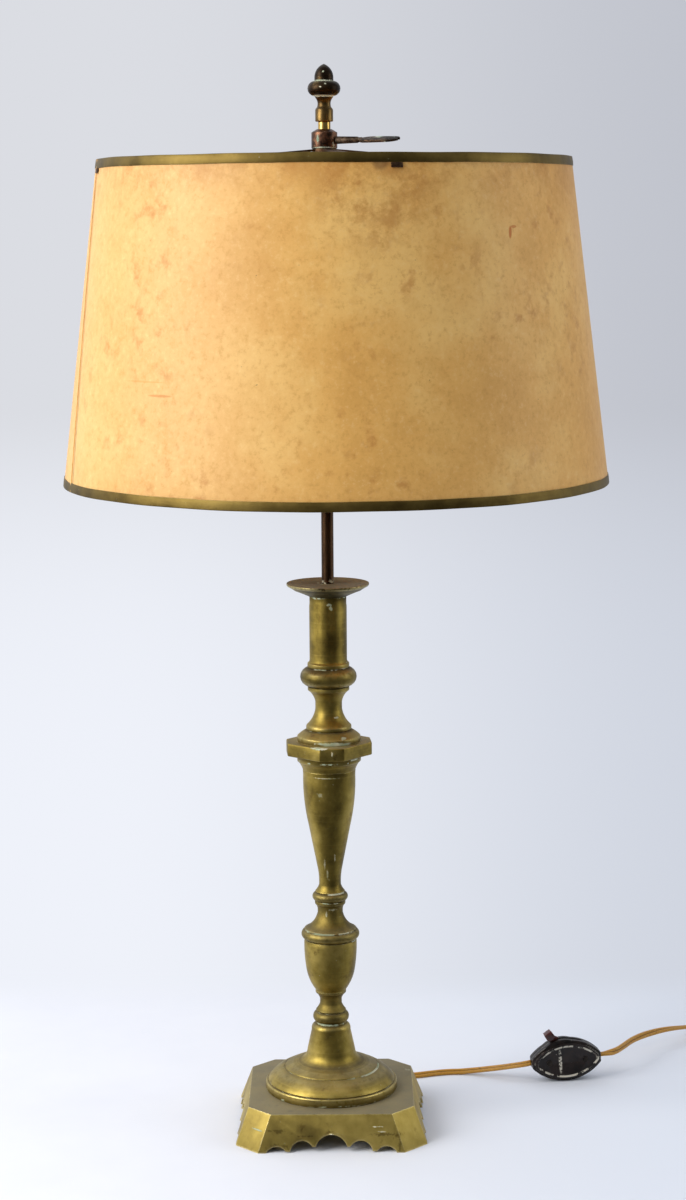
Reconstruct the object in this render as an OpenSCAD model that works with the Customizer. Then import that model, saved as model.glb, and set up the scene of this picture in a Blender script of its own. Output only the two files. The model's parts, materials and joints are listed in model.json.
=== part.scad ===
// Bouillotte lamp: a turned brass candlestick on a square arched base, a
// lamp pipe that carries a twin socket cluster, and a parchment shade that
// slides on the pipe and is held by a thumb key. Millimetres, +Z up, the
// floor is z = 0 and the pipe stands on the Z axis. The front is -Y.

/* [Base] */
// Width of the base across its feet
base_w = 150; // [140:1:165]
// Width of the flat top of the base
base_top_w = 130; // [122:1:136]
// Height of the base
base_h = 27.7; // [24:0.1:32]
// Width cut off each corner of the base, along one side
corner_cut = 17.8; // [10:0.2:20]
// Wall of the cast base
base_wall = 3; // [2.5:0.5:4]
// Radius of the middle arch in each side
mid_arch_r = 13; // [10:0.5:13]
// Height of the middle arch above the floor
mid_arch_h = 13; // [11:0.5:15]
// Radius of the four other arches in each side
side_arch_r = 9.5; // [8:0.5:9.5]
// Height of the arches beside the middle one
inner_arch_h = 8.7; // [7:0.1:10]
// Height of the outermost arches
outer_arch_h = 4.6; // [4:0.1:6]
// Distance from the middle to the next arch
inner_arch_x = 22.8; // [22.5:0.1:24]
// Distance from the middle to the outermost arch
outer_arch_x = 42.8; // [41:0.1:43.5]

/* [Dome] */
// Diameter of the ring around the foot of the dome
dome_ring_d = 105; // [100:0.2:110]
// Height of that ring
dome_ring_h = 6.7; // [5:0.1:9]
// Diameter of the dome above the ring
dome_d = 101.2; // [98:0.2:102]
// Height of the dome and cone, up to the first knop
dome_h = 54; // [50:1:60]
// Diameter of the incised line on the dome
dome_line_d = 74.6; // [70:0.2:80]
// Height of that line above the top of the base
dome_line_z = 17.7; // [17:0.1:20]
// Diameter of the top of the dome
dome_top_d = 54.6; // [50:0.2:60]
// Height of the top of the dome above the base
dome_top_z = 21.5; // [21:0.1:24]
// Diameter of the foot of the cone
cone_d = 38; // [34:0.2:42]
// Height of the foot of the cone above the base
cone_z = 31.8; // [30:0.2:36]
// Diameter of the shoulder on top of the cone
cone_top_d = 31; // [27:0.2:33]
// Diameter of the groove between cone and knop
dome_seam_d = 23.6; // [21:0.2:24]

/* [Stem] */
// Height of the lower knop
lower_knop_h = 26.3; // [24:0.1:30]
// Largest diameter of the bead on the lower knop
lower_bead_d = 28.8; // [26:0.2:31]
// Smallest diameter of the lower knop
lower_neck_d = 17.4; // [15.6:0.2:18]
// Diameter of the fillet under the urn
urn_foot_d = 24.4; // [22:0.2:26]
// Height of the urn
urn_h = 42.4; // [36:0.2:46]
// Largest diameter of the urn
urn_d = 41.8; // [40:0.2:44]
// Diameter where the urn turns into its bowl
urn_bowl_d = 38.4; // [36:0.2:39.6]
// Height of the bowl of the urn
urn_bowl_h = 17; // [13:0.5:18]
// Height of the ring on the urn
urn_rim_h = 8; // [6:0.2:12]
// Largest diameter of the ring on the urn
urn_rim_d = 46.2; // [43:0.2:48]
// Height of the upper knop
upper_knop_h = 30.4; // [28:0.2:36]
// Smallest diameter of the upper knop
upper_neck_d = 20; // [18:0.2:21]
// Largest diameter of the bead on the upper knop
upper_bead_d = 28.2; // [26:0.2:30]
// Height of the bead on the upper knop
upper_bead_h = 6.4; // [5:0.1:8]
// Height of the baluster
baluster_h = 99.4; // [90:0.2:110]
// Smallest diameter of the baluster
baluster_neck_d = 17.3; // [16:0.1:18]
// Diameter of the baluster where its swell begins
baluster_swell_d = 33; // [30:0.5:34]
// Height from the top of the baluster down to there
baluster_swell_h = 45; // [38:0.5:46]
// Diameter of the top of the baluster
baluster_top_d = 41.2; // [38:0.2:42]
// Height of the platform above the baluster
platform_h = 32; // [29:0.5:36]
// Diameter across the corners of the square block
block_d = 69; // [62:0.5:70]
// Height of the square block
block_h = 10.3; // [9:0.1:11.5]
// Turn of the square block against the base
block_turn = 4; // [0:0.5:20]
// Diameter of the round step on the block
step_d = 49.8; // [46:0.2:52]
// Height of the scotia above the platform
scotia_h = 34.3; // [32:0.1:40]
// Diameter of the fillet at the foot of the scotia
scotia_foot_d = 35.6; // [32:0.2:38]
// Smallest diameter of the scotia
scotia_neck_d = 21; // [19:0.2:22]
// Height of the torus ring above the scotia
torus_h = 15.4; // [14:0.2:18]
// Largest diameter of the torus ring
torus_d = 44.4; // [41:0.2:46]
// Diameter of the fillets on both sides of the torus ring
torus_fillet_d = 32.2; // [31:0.2:34]
// Height of the candle tube
tube_h = 56.1; // [45:0.1:80]
// Diameter of the candle tube
tube_d = 29.3; // [26:0.1:30]
// Wall of the candle tube
tube_wall = 2; // [1.5:0.1:3]
// Diameter of the drip pan
pan_d = 64.4; // [58:0.2:72]
// Height of the drip pan
pan_h = 10; // [9:0.5:12]

/* [Pipe] */
// Outside diameter of the lamp pipe
pipe_d = 9.5; // [9:0.1:10]
// Bore of the lamp pipe
pipe_bore_d = 6.3; // [6.2:0.1:6.6]
// Length of pipe from the drip pan to its top end
pipe_above_pan = 361; // [355:1:370]
// Length of pipe that stands out under the top of the base
pipe_below_deck = 4.5; // [4.5:0.5:6]
// Width of the lock nut across its flats
nut_w = 16; // [15:0.5:19]
// Thickness of the lock nut
nut_t = 2.8; // [2.2:0.1:3]
// Diameter of the washer under the base
washer_d = 32; // [28:1:40]
// Thickness of the washer
washer_t = 1.2; // [1:0.1:1.4]

/* [Lights] */
// Height of the socket cluster above the drip pan
cluster_above_pan = 164; // [155:1:166]
// Radius of the cluster body
cluster_r = 15; // [14:0.5:16]
// Lean of each socket from upright
socket_lean = 45; // [40:1:50]
// Distance from the cluster's middle to a socket
socket_start = 20; // [19:0.5:22]
// Outside diameter of a socket shell
socket_d = 33; // [32.6:0.1:34]
// Length of a socket shell
socket_l = 30; // [28:0.5:32]
// Diameter of a bulb's screw cap
bulb_cap_d = 26.6; // [26.2:0.1:26.6]
// Diameter of a bulb
bulb_d = 48; // [42:1:50]
// Length of a bulb from its foot to its top
bulb_l = 86; // [80:1:88]

/* [Shade] */
// Diameter of the top of the shade
shade_top_d = 360.4; // [340:0.2:380]
// Diameter of the bottom of the shade
shade_bottom_d = 420.4; // [390:0.2:440]
// Height of the shade
shade_h = 246.4; // [220:0.2:250]
// Height from the drip pan to the top of the shade
shade_above_pan = 325.8; // [318:0.2:329]
// Distance from the pipe's axis to the shade's own, which hangs off centre
shade_off = 7.3; // [0:0.1:9]
// Thickness of the parchment
parchment_t = 0.7; // [0.5:0.1:1]
// Height of the metal trims
trim_h = 7; // [5:0.5:10]
// Thickness of the metal trims
trim_t = 0.5; // [0.4:0.1:0.8]
// Diameter of the wire rings in the trims
wire_d = 2.6; // [2:0.1:3]
// Turn of the four spider arms from the front
arm_turn = 14; // [0:1:45]
// Width of a spider arm
arm_w = 8.5; // [7:0.5:10]
// Thickness of a spider arm
arm_t = 1.6; // [1.2:0.1:2]
// Length of the tab that is folded down outside the shade
tab_h = 3.5; // [3:0.5:6]

/* [Collar and key] */
// Diameter of the sliding collar
collar_d = 19.7; // [19:0.1:22]
// Height of the round part of the collar
collar_h = 12; // [11:0.5:16]
// Height of the cone on the collar
collar_cone_h = 2.4; // [1.5:0.1:3]
// Height of the collar above the top of the shade
collar_above_shade = 7.4; // [7:0.1:8]
// Diameter of the collar's neck, which carries the spider
neck_d = 15.2; // [14.6:0.1:16]
// Height of the spider's hub
hub_h = 3.9; // [3:0.1:4.2]
// Diameter of the spider's hub
hub_d = 18.6; // [18:0.1:20]
// Thickness of the nut under the hub
neck_nut_t = 3.4; // [2.5:0.1:4]
// Direction of the key, from the right towards the front
key_turn = 25; // [0:1:60]
// Height of the key above the foot of the round part
key_up = 6; // [5.8:0.1:7]
// Diameter of the key's screw
key_screw_d = 4.7; // [4:0.1:5]
// Largest diameter of the key's shank
key_shank_d = 5.8; // [5.4:0.1:6]
// Distance from the pipe's axis to the end of the shank
key_shank_end = 29; // [26:0.5:32]
// Length of the key's oval thumb plate
thumb_l = 32; // [28:0.5:36]
// Width of the thumb plate
thumb_w = 17; // [14:0.5:17]

/* [Finial] */
// Diameter of the barrel under the acorn
barrel_d = 13.6; // [12.6:0.1:15]
// Height of the barrel, its waist included
barrel_h = 18.9; // [18:0.1:21]
// Smallest diameter of the waist
waist_d = 9.4; // [8:0.1:10]
// Largest diameter of the acorn's cup
cup_d = 25; // [23:0.1:28]
// Height of the acorn's cup
cup_h = 11.4; // [10:0.1:13]
// Diameter of the acorn
acorn_d = 14.4; // [13:0.1:16]
// Height of the acorn above its cup
acorn_h = 12.6; // [11:0.1:15]

/* [Switch and cord] */
// Length of the switch
switch_l = 58.5; // [56:0.5:64]
// Height of the switch across its middle
switch_w = 34.4; // [33:0.1:36]
// Thickness of the switch
switch_t = 16; // [15:0.5:18]
// Height of the blunt ends of the switch
switch_end = 8; // [7:0.5:9]
// Distance between the middle and each screw
screw_x = 15.2; // [14:0.1:16]
// Distance from the lever's pivot to its knob
lever_l = 24.9; // [24:0.1:27]
// Lean of the lever from upright when it is off
lever_lean = 30.4; // [28:0.1:32]
// Width of the flat twin cord
cord_w = 5.5; // [5:0.1:5.6]
// Thickness of the flat twin cord
cord_t = 2.8; // [2.4:0.1:2.8]
// Radius of the coil at the middle of its turns
coil_r = 32; // [30:0.5:33]
// Width of the plug
plug_w = 22; // [20:0.5:25]
// Thickness of the plug
plug_t = 14; // [12:0.5:16]
// Length of the plug
plug_l = 26; // [24:1:32]
// Length of the plug's strain relief
relief_l = 20; // [20:1:25]

/* [Clearances] */
// Radial clearance of a shaft in its hole
running = 0.05; // [0.03:0.01:0.08]
// Gap between faces that turn past each other
face_gap = 0.1; // [0.05:0.01:0.15]
// Gap around parts that pass freely through a hole
free_gap = 0.3; // [0.2:0.05:0.4]

/* [Hidden] */

BRASS = "darkgoldenrod";
COPPER = "sienna";
BAKELITE = "#241a16";
LEFT = -1;
RIGHT = 1;

// Heights of the seams of the stem, from the floor up
dome_z = base_h;
lower_knop_z = dome_z + dome_h;
urn_z = lower_knop_z + lower_knop_h;
urn_rim_z = urn_z + urn_h;
upper_knop_z = urn_rim_z + urn_rim_h;
baluster_z = upper_knop_z + upper_knop_h;
platform_z = baluster_z + baluster_h;
scotia_z = platform_z + platform_h;
torus_z = scotia_z + scotia_h;
tube_z = torus_z + torus_h;
pan_z = tube_z + tube_h;
pan_top = pan_z + pan_h;
pipe_r = pipe_d / 2;
stem_bore = pipe_r + running;

// Diameters that two neighbours of the stem share
upper_seam_d = urn_d - 0.2;
knop_top_d = 24;
platform_foot_d = baluster_top_d + 0.4;
scotia_top_d = 32.6;
pan_foot_d = tube_d - 0.5;

// Pipe, nut and washer under the top of the base
deck_under = base_h - base_wall;
pipe_bottom = deck_under - pipe_below_deck;
pipe_top = pan_top + pipe_above_pan;

// Heights of the lights and the shade
cluster_z = pan_top + cluster_above_pan;
shade_top = pan_top + shade_above_pan;
shade_bottom = shade_top - shade_h;
parchment_top = shade_top - trim_t;
parchment_bottom = shade_bottom + trim_t;
collar_z = shade_top + collar_above_shade;
hub_top = collar_z - face_gap;
hub_under = hub_top - hub_h;
nut_top = hub_under - face_gap;
arm_end_z = shade_top - trim_h - free_gap;
key_z = collar_z + key_up;

// Sockets: each length is measured along the socket's own axis
shell_wall = 0.6;
liner_wall = 0.8;
cap_wall = 0.7;
core_l = 12;
bell_l = 11;
cap_rim_l = 5;
shell_start = socket_start + bell_l + cap_wall;
core_start = shell_start + cap_wall;
core_end = core_start + core_l;
shell_end = shell_start + socket_l;
shell_r = socket_d / 2;
liner_r = shell_r - shell_wall - running;
core_r = liner_r - liner_wall - running;
contact_h = 1;
bulb_r = bulb_d / 2;
cap_r = bulb_cap_d / 2;
bulb_foot = core_end + contact_h + 0.2;
bulb_top = bulb_foot + bulb_l;
bulb_cap_l = 21;
glass_start = bulb_foot + 17;
neck_r = cap_r - 0.6 - running;
glass_wall = 1;

// Finial on the end of the pipe
finial_z = pipe_top - 7.7;
barrel_straight = 8.7;

// Switch: its place, and the two arcs that make its pointed outline
switch_place = [196.2, 92, switch_w / 2 + 0.3];
switch_yaw = 8;
switch_tilt = 4;
half_l = switch_l / 2;
arc_rise = (switch_w - switch_end) / 2;
arc_r = (half_l * half_l + arc_rise * arc_rise) / (2 * arc_rise);
arc_off = arc_r - switch_w / 2;
cavity_inset = 4.5;
lever_t = 2.4;
lever_root = 4.8;
pin_r = 1.5;
hub_r = 5;

// Cord routes, floor to object, as the middle of the cord
lay_z = cord_t / 2 + 0.1;
bend_r = 22;
exit_y = 75;
inside_turn_z = bend_r + lay_z;
to_switch = [[0, 75, 1.5], [0, 81, 1.5], [1.5, 87.5, 1.5], [6, 93.5, 1.5],
    [14, 97, 1.5], [25, 97, 1.5], [37, 95.5, 1.5], [49, 94, 1.5],
    [61, 94.5, 1.5], [73, 97, 1.5], [85, 101, 1.5], [97, 104, 1.8],
    [109, 104.5, 2.4], [120, 102.5, 4], [131, 99, 6.4], [142, 94.5, 9.2],
    [151, 90.6, 11.8], [159.3, 88, 13.9]];
to_coil = [[231.2, 97.7, 19.8], [236.6, 101.2, 19.8], [241.5, 107, 19.6],
    [248, 118.5, 19.1], [256.5, 134.5, 18.4], [266.5, 148.7, 17.6],
    [277.3, 160.3, 16.8], [287.5, 170.3, 15.7], [298.5, 180, 14],
    [309.5, 189, 11.9], [319.5, 198.5, 9.5], [327.5, 209, 7.2],
    [334, 220, 5.2], [341.5, 230.5, 3.7], [351, 238.5, 2.8],
    [361, 242.6, 2.4]];
coil_place = [374, 209];
turn_pitch = 5.7;
layer_pitch = 3;
layers = 3;
tie_t = 0.8;
coil_lift = tie_t + 0.2;
coil_h = layers * layer_pitch;
over_coil = [for (a = [235:-23.5:0]) [coil_place[0] + coil_r * cos(a),
    coil_place[1] + coil_r * sin(a), coil_lift + coil_h + cord_t / 2 + 0.2]];
to_plug = [[406, 198, 11.6], [406, 188, 10.8], [406, 178, 9.2],
    [406, 168, 7.6]];
plug_place = [406, 163];
tie_w = 4;

// Points between p and q on an arc whose middle stands off the chord by
// rise, to the right of the way from p to q
function bow(p, q, rise, steps = 8) =
    let (chord = q - p, c = norm(chord), u = chord / c,
        n = [u[1], -u[0]], half = 2 * atan(2 * rise / c),
        r = c / (2 * sin(half)), middle = (p + q) / 2 - n * r * cos(half))
    [for (i = [1:steps - 1]) let (a = half * (2 * i / steps - 1))
        middle + r * (n * cos(a) + u * sin(a))];

function unit(v) = v / norm(v);

// Radius of the parchment's outer face at height z
function shade_r(z) = shade_top_d / 2 - trim_t
    + (shade_top - z) * (shade_bottom_d - shade_top_d) / 2 / shade_h;

// Where spider arm k leaves the parchment, which stands off the pipe's axis
function arm_foot(k) =
    let (b = arm_turn - 90 + 90 * k, r = shade_r(arm_end_z))
    [shade_off + r * cos(b), r * sin(b)];

// Turns the children to arm k, at the distance of its foot less the radius
module at_arm(k) {
    foot = arm_foot(k);
    rotate([0, 0, atan2(foot[1], foot[0])])
        translate([norm(foot) - shade_r(arm_end_z), 0, 0])
            children();
}

// A solid of revolution around the pipe, from an outline that runs upwards
module turned(z, bore_r, outline) {
    foot = outline[0];
    head = outline[len(outline) - 1];
    translate([0, 0, z])
        rotate_extrude($fn = 120)
            polygon(concat([[bore_r, foot[1]]], outline,
                [[bore_r, head[1]]]));
}

module tube(z, outer_r, inner_r, h, fn = 64) {
    translate([0, 0, z])
        difference() {
            cylinder(h = h, r = outer_r, $fn = fn);
            translate([0, 0, -1])
                cylinder(h = h + 2, r = inner_r, $fn = fn);
        }
}

module cavity(z, r, h) {
    translate([0, 0, z])
        cylinder(h = h, r = r, $fn = 96);
}

// Square with its corners cut off, as an outline and as a tapered block
module cut_square(w, cut) {
    a = w / 2;
    b = a - cut;
    polygon([[a, -b], [a, b], [b, a], [-b, a],
        [-a, b], [-a, -b], [-b, -a], [b, -a]]);
}

module tapered_block(w0, w1, cut, h) {
    hull() {
        linear_extrude(0.01)
            cut_square(w0, cut);
        translate([0, 0, h - 0.01])
            linear_extrude(0.01)
                cut_square(w1, cut);
    }
}

// Openings of one side of the base: five arches and the raised edge between
module side_arches() {
    cusp_inner = 4.4;
    cusp_outer = 1.1;
    translate([0, mid_arch_h - mid_arch_r])
        circle(r = mid_arch_r, $fn = 48);
    for (s = [LEFT, RIGHT]) {
        translate([s * inner_arch_x, inner_arch_h - side_arch_r])
            circle(r = side_arch_r, $fn = 48);
        translate([s * outer_arch_x, outer_arch_h - side_arch_r])
            circle(r = side_arch_r, $fn = 48);
    }
    translate([-inner_arch_x, -base_h])
        square([2 * inner_arch_x, base_h + cusp_inner]);
    translate([-outer_arch_x, -base_h])
        square([2 * outer_arch_x, base_h + cusp_outer]);
}

module plinth() {
    color(BRASS)
    difference() {
        tapered_block(base_w, base_top_w, corner_cut, base_h);
        translate([0, 0, -0.01])
            tapered_block(base_w - 2 * base_wall, base_top_w
                - 2 * base_wall, corner_cut - base_wall / 2, deck_under
                + 0.01);
        for (a = [0, 90])
            rotate([0, 0, a])
                translate([0, base_w / 2 + 1, 0])
                    rotate([90, 0, 0])
                        linear_extrude(base_w + 2)
                            side_arches();
        translate([0, 0, -1])
            cylinder(h = base_h + 2, r = stem_bore, $fn = 64);
    }
}

module base_dome() {
    ring_r = dome_ring_d / 2;
    foot = [dome_d / 2, dome_ring_h + 0.9];
    line = [dome_line_d / 2, dome_line_z];
    cut = [0.4, -0.3];
    top = [dome_top_d / 2, dome_top_z];
    cone = [cone_d / 2, cone_z];
    shoulder = [cone_top_d / 2, dome_h - 6];
    seam = [dome_seam_d / 2, dome_h];
    color(BRASS)
    difference() {
        turned(dome_z, stem_bore, concat([[ring_r - 0.5, 0],
            [ring_r, 0.8], [ring_r, dome_ring_h - 0.8],
            [ring_r - 0.6, dome_ring_h], [foot[0] - 0.6, dome_ring_h],
            foot], bow(foot, line + cut, 1.3), [line + cut,
            line - [0.3, 0.5], line - cut], bow(line - cut, top, 0.4, 4),
            [top, top - [0.5, -0.3]], bow(top - [0.5, -0.3], cone, -2),
            [cone, shoulder], bow(shoulder, seam + [1.1, -0.9], 1, 6),
            [seam + [1.1, -0.9], seam + [0.1, -0.3], seam]));
        translate([0, 0, dome_z])
            rotate_extrude($fn = 96)
                polygon([[pipe_r, -1], [foot[0] - 4, -1],
                    [foot[0] - 4, dome_ring_h - 1],
                    [line[0] - 2, line[1] - 4], [top[0] - 4, top[1] - 3.6],
                    [seam[0] - 3.5, top[1] - 2],
                    [seam[0] - 3.5, dome_h - 6], [pipe_r, dome_h - 6]]);
    }
}

module lower_knop() {
    foot = [dome_seam_d / 2, 0];
    bead0 = [lower_bead_d / 2 - 1.9, 1];
    bead1 = [lower_bead_d / 2 - 1.9, 8.8];
    groove = bead1 + [-0.3, 0.8];
    neck0 = [lower_neck_d / 2, 15.6];
    neck1 = [lower_neck_d / 2, lower_knop_h - 6.7];
    top_r = urn_foot_d / 2;
    flare = [top_r - 0.2, lower_knop_h - 1.7];
    color(BRASS)
    turned(lower_knop_z, stem_bore, concat([foot, foot + [0, 0.6], bead0],
        bow(bead0, bead1, 1.9, 10), [bead1, groove],
        bow(groove, neck0, -0.2, 4), [neck0, neck1],
        bow(neck1, flare, -0.45, 5), [flare, [top_r, flare[1] + 0.6],
        [top_r, lower_knop_h]]));
}

module urn() {
    foot = [urn_foot_d / 2, 0.9];
    bowl = [urn_bowl_d / 2, urn_bowl_h];
    lip = [urn_d / 2, urn_h - 1.7];
    color(BRASS)
    difference() {
        turned(urn_z, stem_bore, concat([foot - [0, 0.9], foot],
            bow(foot, bowl, 1), [bowl], bow(bowl, lip, 0.55, 5),
            [lip, [lip[0] - 0.4,
            urn_h - 0.2], [lip[0] - 0.4, urn_h]]));
        cavity(urn_z + urn_bowl_h - 4, bowl[0] - 5.5,
            urn_h - urn_bowl_h);
    }
}

module urn_rim() {
    foot = [urn_d / 2 - 0.3, 0.3];
    head = [upper_seam_d / 2 + 0.4, urn_rim_h - 0.3];
    rise = (urn_rim_d - foot[0] - head[0]) / 2;
    color(BRASS)
    turned(urn_rim_z, stem_bore, concat([[foot[0] - 0.4, 0], foot],
        bow(foot, head, rise, 10), [head, [head[0] - 0.5, urn_rim_h]]));
}

module upper_knop() {
    foot = [upper_seam_d / 2, 0.4];
    sweep0 = [upper_neck_d / 2 + 0.9, 10.7];
    neck0 = [upper_neck_d / 2, 13.4];
    neck1 = [upper_neck_d / 2, upper_knop_h - 14.2];
    bead_r = upper_bead_d / 2 - 1.9;
    bead1 = [bead_r, upper_knop_h - 0.5];
    bead0 = [bead_r, bead1[1] - upper_bead_h];
    fillet = [bead_r - 0.6, bead0[1] - 3.1];
    head = [knop_top_d / 2, upper_knop_h];
    color(BRASS)
    turned(upper_knop_z, stem_bore, concat([[foot[0], 0], foot],
        bow(foot, sweep0, -1.5), [sweep0, neck0, neck1],
        bow(neck1, fillet, -0.4, 4), [fillet, fillet + [0.5, 0.5],
        bead0 - [0, 0.3], bead0], bow(bead0, bead1, 1.9, 10),
        [bead1, head]));
}

module baluster() {
    foot = [knop_top_d / 2, 0];
    neck = [baluster_neck_d / 2, 6];
    neck_up = [baluster_neck_d / 2, 10.4];
    slope = [baluster_neck_d / 2 + 1.15, 20];
    swell = [baluster_swell_d / 2, baluster_h - baluster_swell_h];
    head = [baluster_top_d / 2, baluster_h - 4];
    color(BRASS)
    difference() {
        turned(baluster_z, stem_bore, concat([foot],
            bow(foot, neck, -0.15, 4), [neck, neck_up],
            bow(neck_up, slope, -0.2, 4), [slope, swell],
            bow(swell, head, 1.3, 10), [head, [platform_foot_d / 2,
            baluster_h - 0.8], [platform_foot_d / 2, baluster_h]]));
        cavity(platform_z - baluster_swell_h, swell[0] - 4.5,
            baluster_swell_h - 4);
    }
}

module platform() {
    foot_r = platform_foot_d / 2;
    fillet_r = foot_r + 4.3;
    step_r = step_d / 2;
    step_h = 9.3;
    block_z = platform_h - block_h - step_h;
    cove = [fillet_r - 0.7, 6.6];
    ledge = [step_r - 0.5, 4.5];
    seat = [scotia_foot_d / 2, step_h - 0.2];
    color(BRASS)
    difference() {
        union() {
            turned(platform_z, stem_bore, concat([[foot_r, 0]],
                bow([foot_r, 0], cove, -0.4, 5), [cove, [fillet_r, 7],
                [fillet_r, 9.2], [fillet_r + 2, block_z + 0.1]]));
            translate([0, 0, platform_z + block_z])
                rotate([0, 0, block_turn])
                    linear_extrude(block_h)
                        polygon([for (k = [0:3], e = [-1, 1])
                            let (a = 45 + 90 * k + e * 29)
                            block_d / 2 * [cos(a), sin(a)]]);
            turned(platform_z + block_z + block_h, stem_bore,
                concat([[step_r, -0.1], [step_r, 4], ledge],
                bow(ledge, seat, 0.3, 4), [seat, [seat[0] - 0.4,
                step_h]]));
        }
        translate([0, 0, platform_z - 1])
            cylinder(h = platform_h + 2, r = stem_bore, $fn = 64);
        cavity(platform_z + 7, fillet_r - 5, platform_h - 12);
    }
}

module scotia() {
    foot_r = scotia_foot_d / 2;
    flare = [foot_r - 0.4, 3.5];
    neck = [scotia_neck_d / 2, 16.6];
    spread = [scotia_neck_d / 2, scotia_h - 12.3];
    top_r = scotia_top_d / 2;
    lip = [top_r - 1.3, scotia_h - 3.9];
    color(BRASS)
    turned(scotia_z, stem_bore, concat([[foot_r - 0.6, 0],
        [foot_r, 0.5], [foot_r, 2.8], flare], bow(flare, neck, -1.3),
        [neck, spread], bow(spread, lip, -0.8, 6), [lip,
        [top_r, scotia_h - 3], [top_r, scotia_h - 0.4],
        [top_r - 0.4, scotia_h]]));
}

module torus_ring() {
    foot = [scotia_top_d / 2 - 0.4, 0.4];
    head = [torus_fillet_d / 2, torus_h - 0.4];
    rise = (torus_d - foot[0] - head[0]) / 2;
    color(BRASS)
    turned(torus_z, stem_bore, concat([[foot[0] - 0.4, 0], foot],
        bow(foot, head, rise, 12), [head, [head[0] - 0.4, torus_h]]));
}

module candle_tube() {
    fillet_r = torus_fillet_d / 2 + 0.3;
    sweep0 = [fillet_r - 0.3, 3.3];
    straight = [tube_d / 2, 5.6];
    color(BRASS)
    difference() {
        turned(tube_z, stem_bore, concat([[fillet_r - 0.3, 0],
            [fillet_r, 0.3], [fillet_r, 2.9], sweep0],
            bow(sweep0, straight, -0.3, 4), [straight,
            [tube_d / 2, tube_h - 8], [pan_foot_d / 2, tube_h - 6],
            [pan_foot_d / 2, tube_h]]));
        cavity(tube_z + 5, pan_foot_d / 2 - tube_wall, tube_h - 8);
    }
}

module drip_pan() {
    foot = [pan_foot_d / 2 + 0.9, 0];
    dish = [pan_d / 2 - 6, 4.7];
    edge = [pan_d / 2 - 0.7, 7.9];
    color(BRASS)
    turned(pan_z, stem_bore, concat([foot], bow(foot, dish, -0.15, 5),
        [dish], bow(dish, edge, -0.1, 4), [edge, [pan_d / 2, 8.7],
        [pan_d / 2, pan_h], [pan_d / 2 - 0.6, pan_h + 0.2],
        [pan_d / 2 - 1.6, pan_h - 0.3]]));
}

module lamp_pipe() {
    color("#5c4a2e")
    difference() {
        tube(pipe_bottom, pipe_r, pipe_bore_d / 2, pipe_top - pipe_bottom);
        for (s = [LEFT, RIGHT])
            at_socket(s)
                cylinder(h = 3 * pipe_d, r = 2.6, $fn = 32);
    }
}

module base_washer() {
    color("gray")
    tube(deck_under - washer_t, washer_d / 2, stem_bore, washer_t);
}

module lock_nut() {
    color("gray")
    translate([0, 0, deck_under - washer_t - nut_t])
        difference() {
            linear_extrude(nut_t)
                circle(d = nut_w / cos(30), $fn = 6);
            translate([0, 0, -1])
                cylinder(h = nut_t + 2, r = stem_bore, $fn = 64);
        }
}

// Insulating cap over the sharp lower end of the pipe
module pipe_bushing() {
    lip = 1.2;
    grip = min(deck_under - washer_t - nut_t - pipe_bottom, 0.5);
    color("black")
    difference() {
        tube(pipe_bottom - lip, pipe_r + 1.2, pipe_bore_d / 2, lip + grip);
        translate([0, 0, pipe_bottom])
            cylinder(h = 5, r = stem_bore, $fn = 64);
    }
}

// The flat twin cord where it runs straight up inside the pipe
module pipe_cord() {
    lobe = (cord_w - cord_t) / 2;
    color("goldenrod")
    translate([0, 0, inside_turn_z])
        linear_extrude(cluster_z - 4 - inside_turn_z) {
            for (s = [LEFT, RIGHT])
                translate([s * lobe, 0])
                    circle(d = cord_t, $fn = 32);
            square([2 * lobe, cord_t], center = true);
        }
}

// One ring of eight points around a cord at p that runs along t
function cord_ring(p, t, side) =
    let (lift = cross(t, side), k = 1 / cos(22.5))
    [for (j = [0:7]) let (a = 22.5 + 45 * j)
        p + side * (cord_w / 2 * k * cos(a))
            + lift * (cord_t / 2 * k * sin(a))];

// A flat cord swept along its points, lying flat unless a side is given
module cord_sweep(points, side = undef) {
    n = len(points);
    rings = [for (i = [0:n - 1])
        let (t = unit(points[min(i + 1, n - 1)] - points[max(i - 1, 0)]),
            s = is_undef(side) ? unit(cross([0, 0, 1], t)) : side)
        each cord_ring(points[i], t, s)];
    walls = [for (i = [0:n - 2], j = [0:7]) let (k = (j + 1) % 8)
        [i * 8 + 8 + j, i * 8 + 8 + k, i * 8 + k, i * 8 + j]];
    ends = [[for (j = [0:7]) j], [for (j = [7:-1:0]) n * 8 - 8 + j]];
    color("goldenrod")
    polyhedron(rings, concat(walls, ends));
}

// Under the base: out of the pipe in a quarter turn, then to the back arch
module base_cord() {
    quarter = [for (a = [0:15:90])
        [0, bend_r * (1 - cos(a)), inside_turn_z - bend_r * sin(a)]];
    cord_sweep(concat(quarter, [for (y = [38, 56, exit_y])
        [0, y, lay_z]]), [-1, 0, 0]);
}

// The cluster and its sockets
module at_socket(side) {
    translate([0, 0, cluster_z])
        rotate([0, side * socket_lean, 0])
            children();
}

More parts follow.
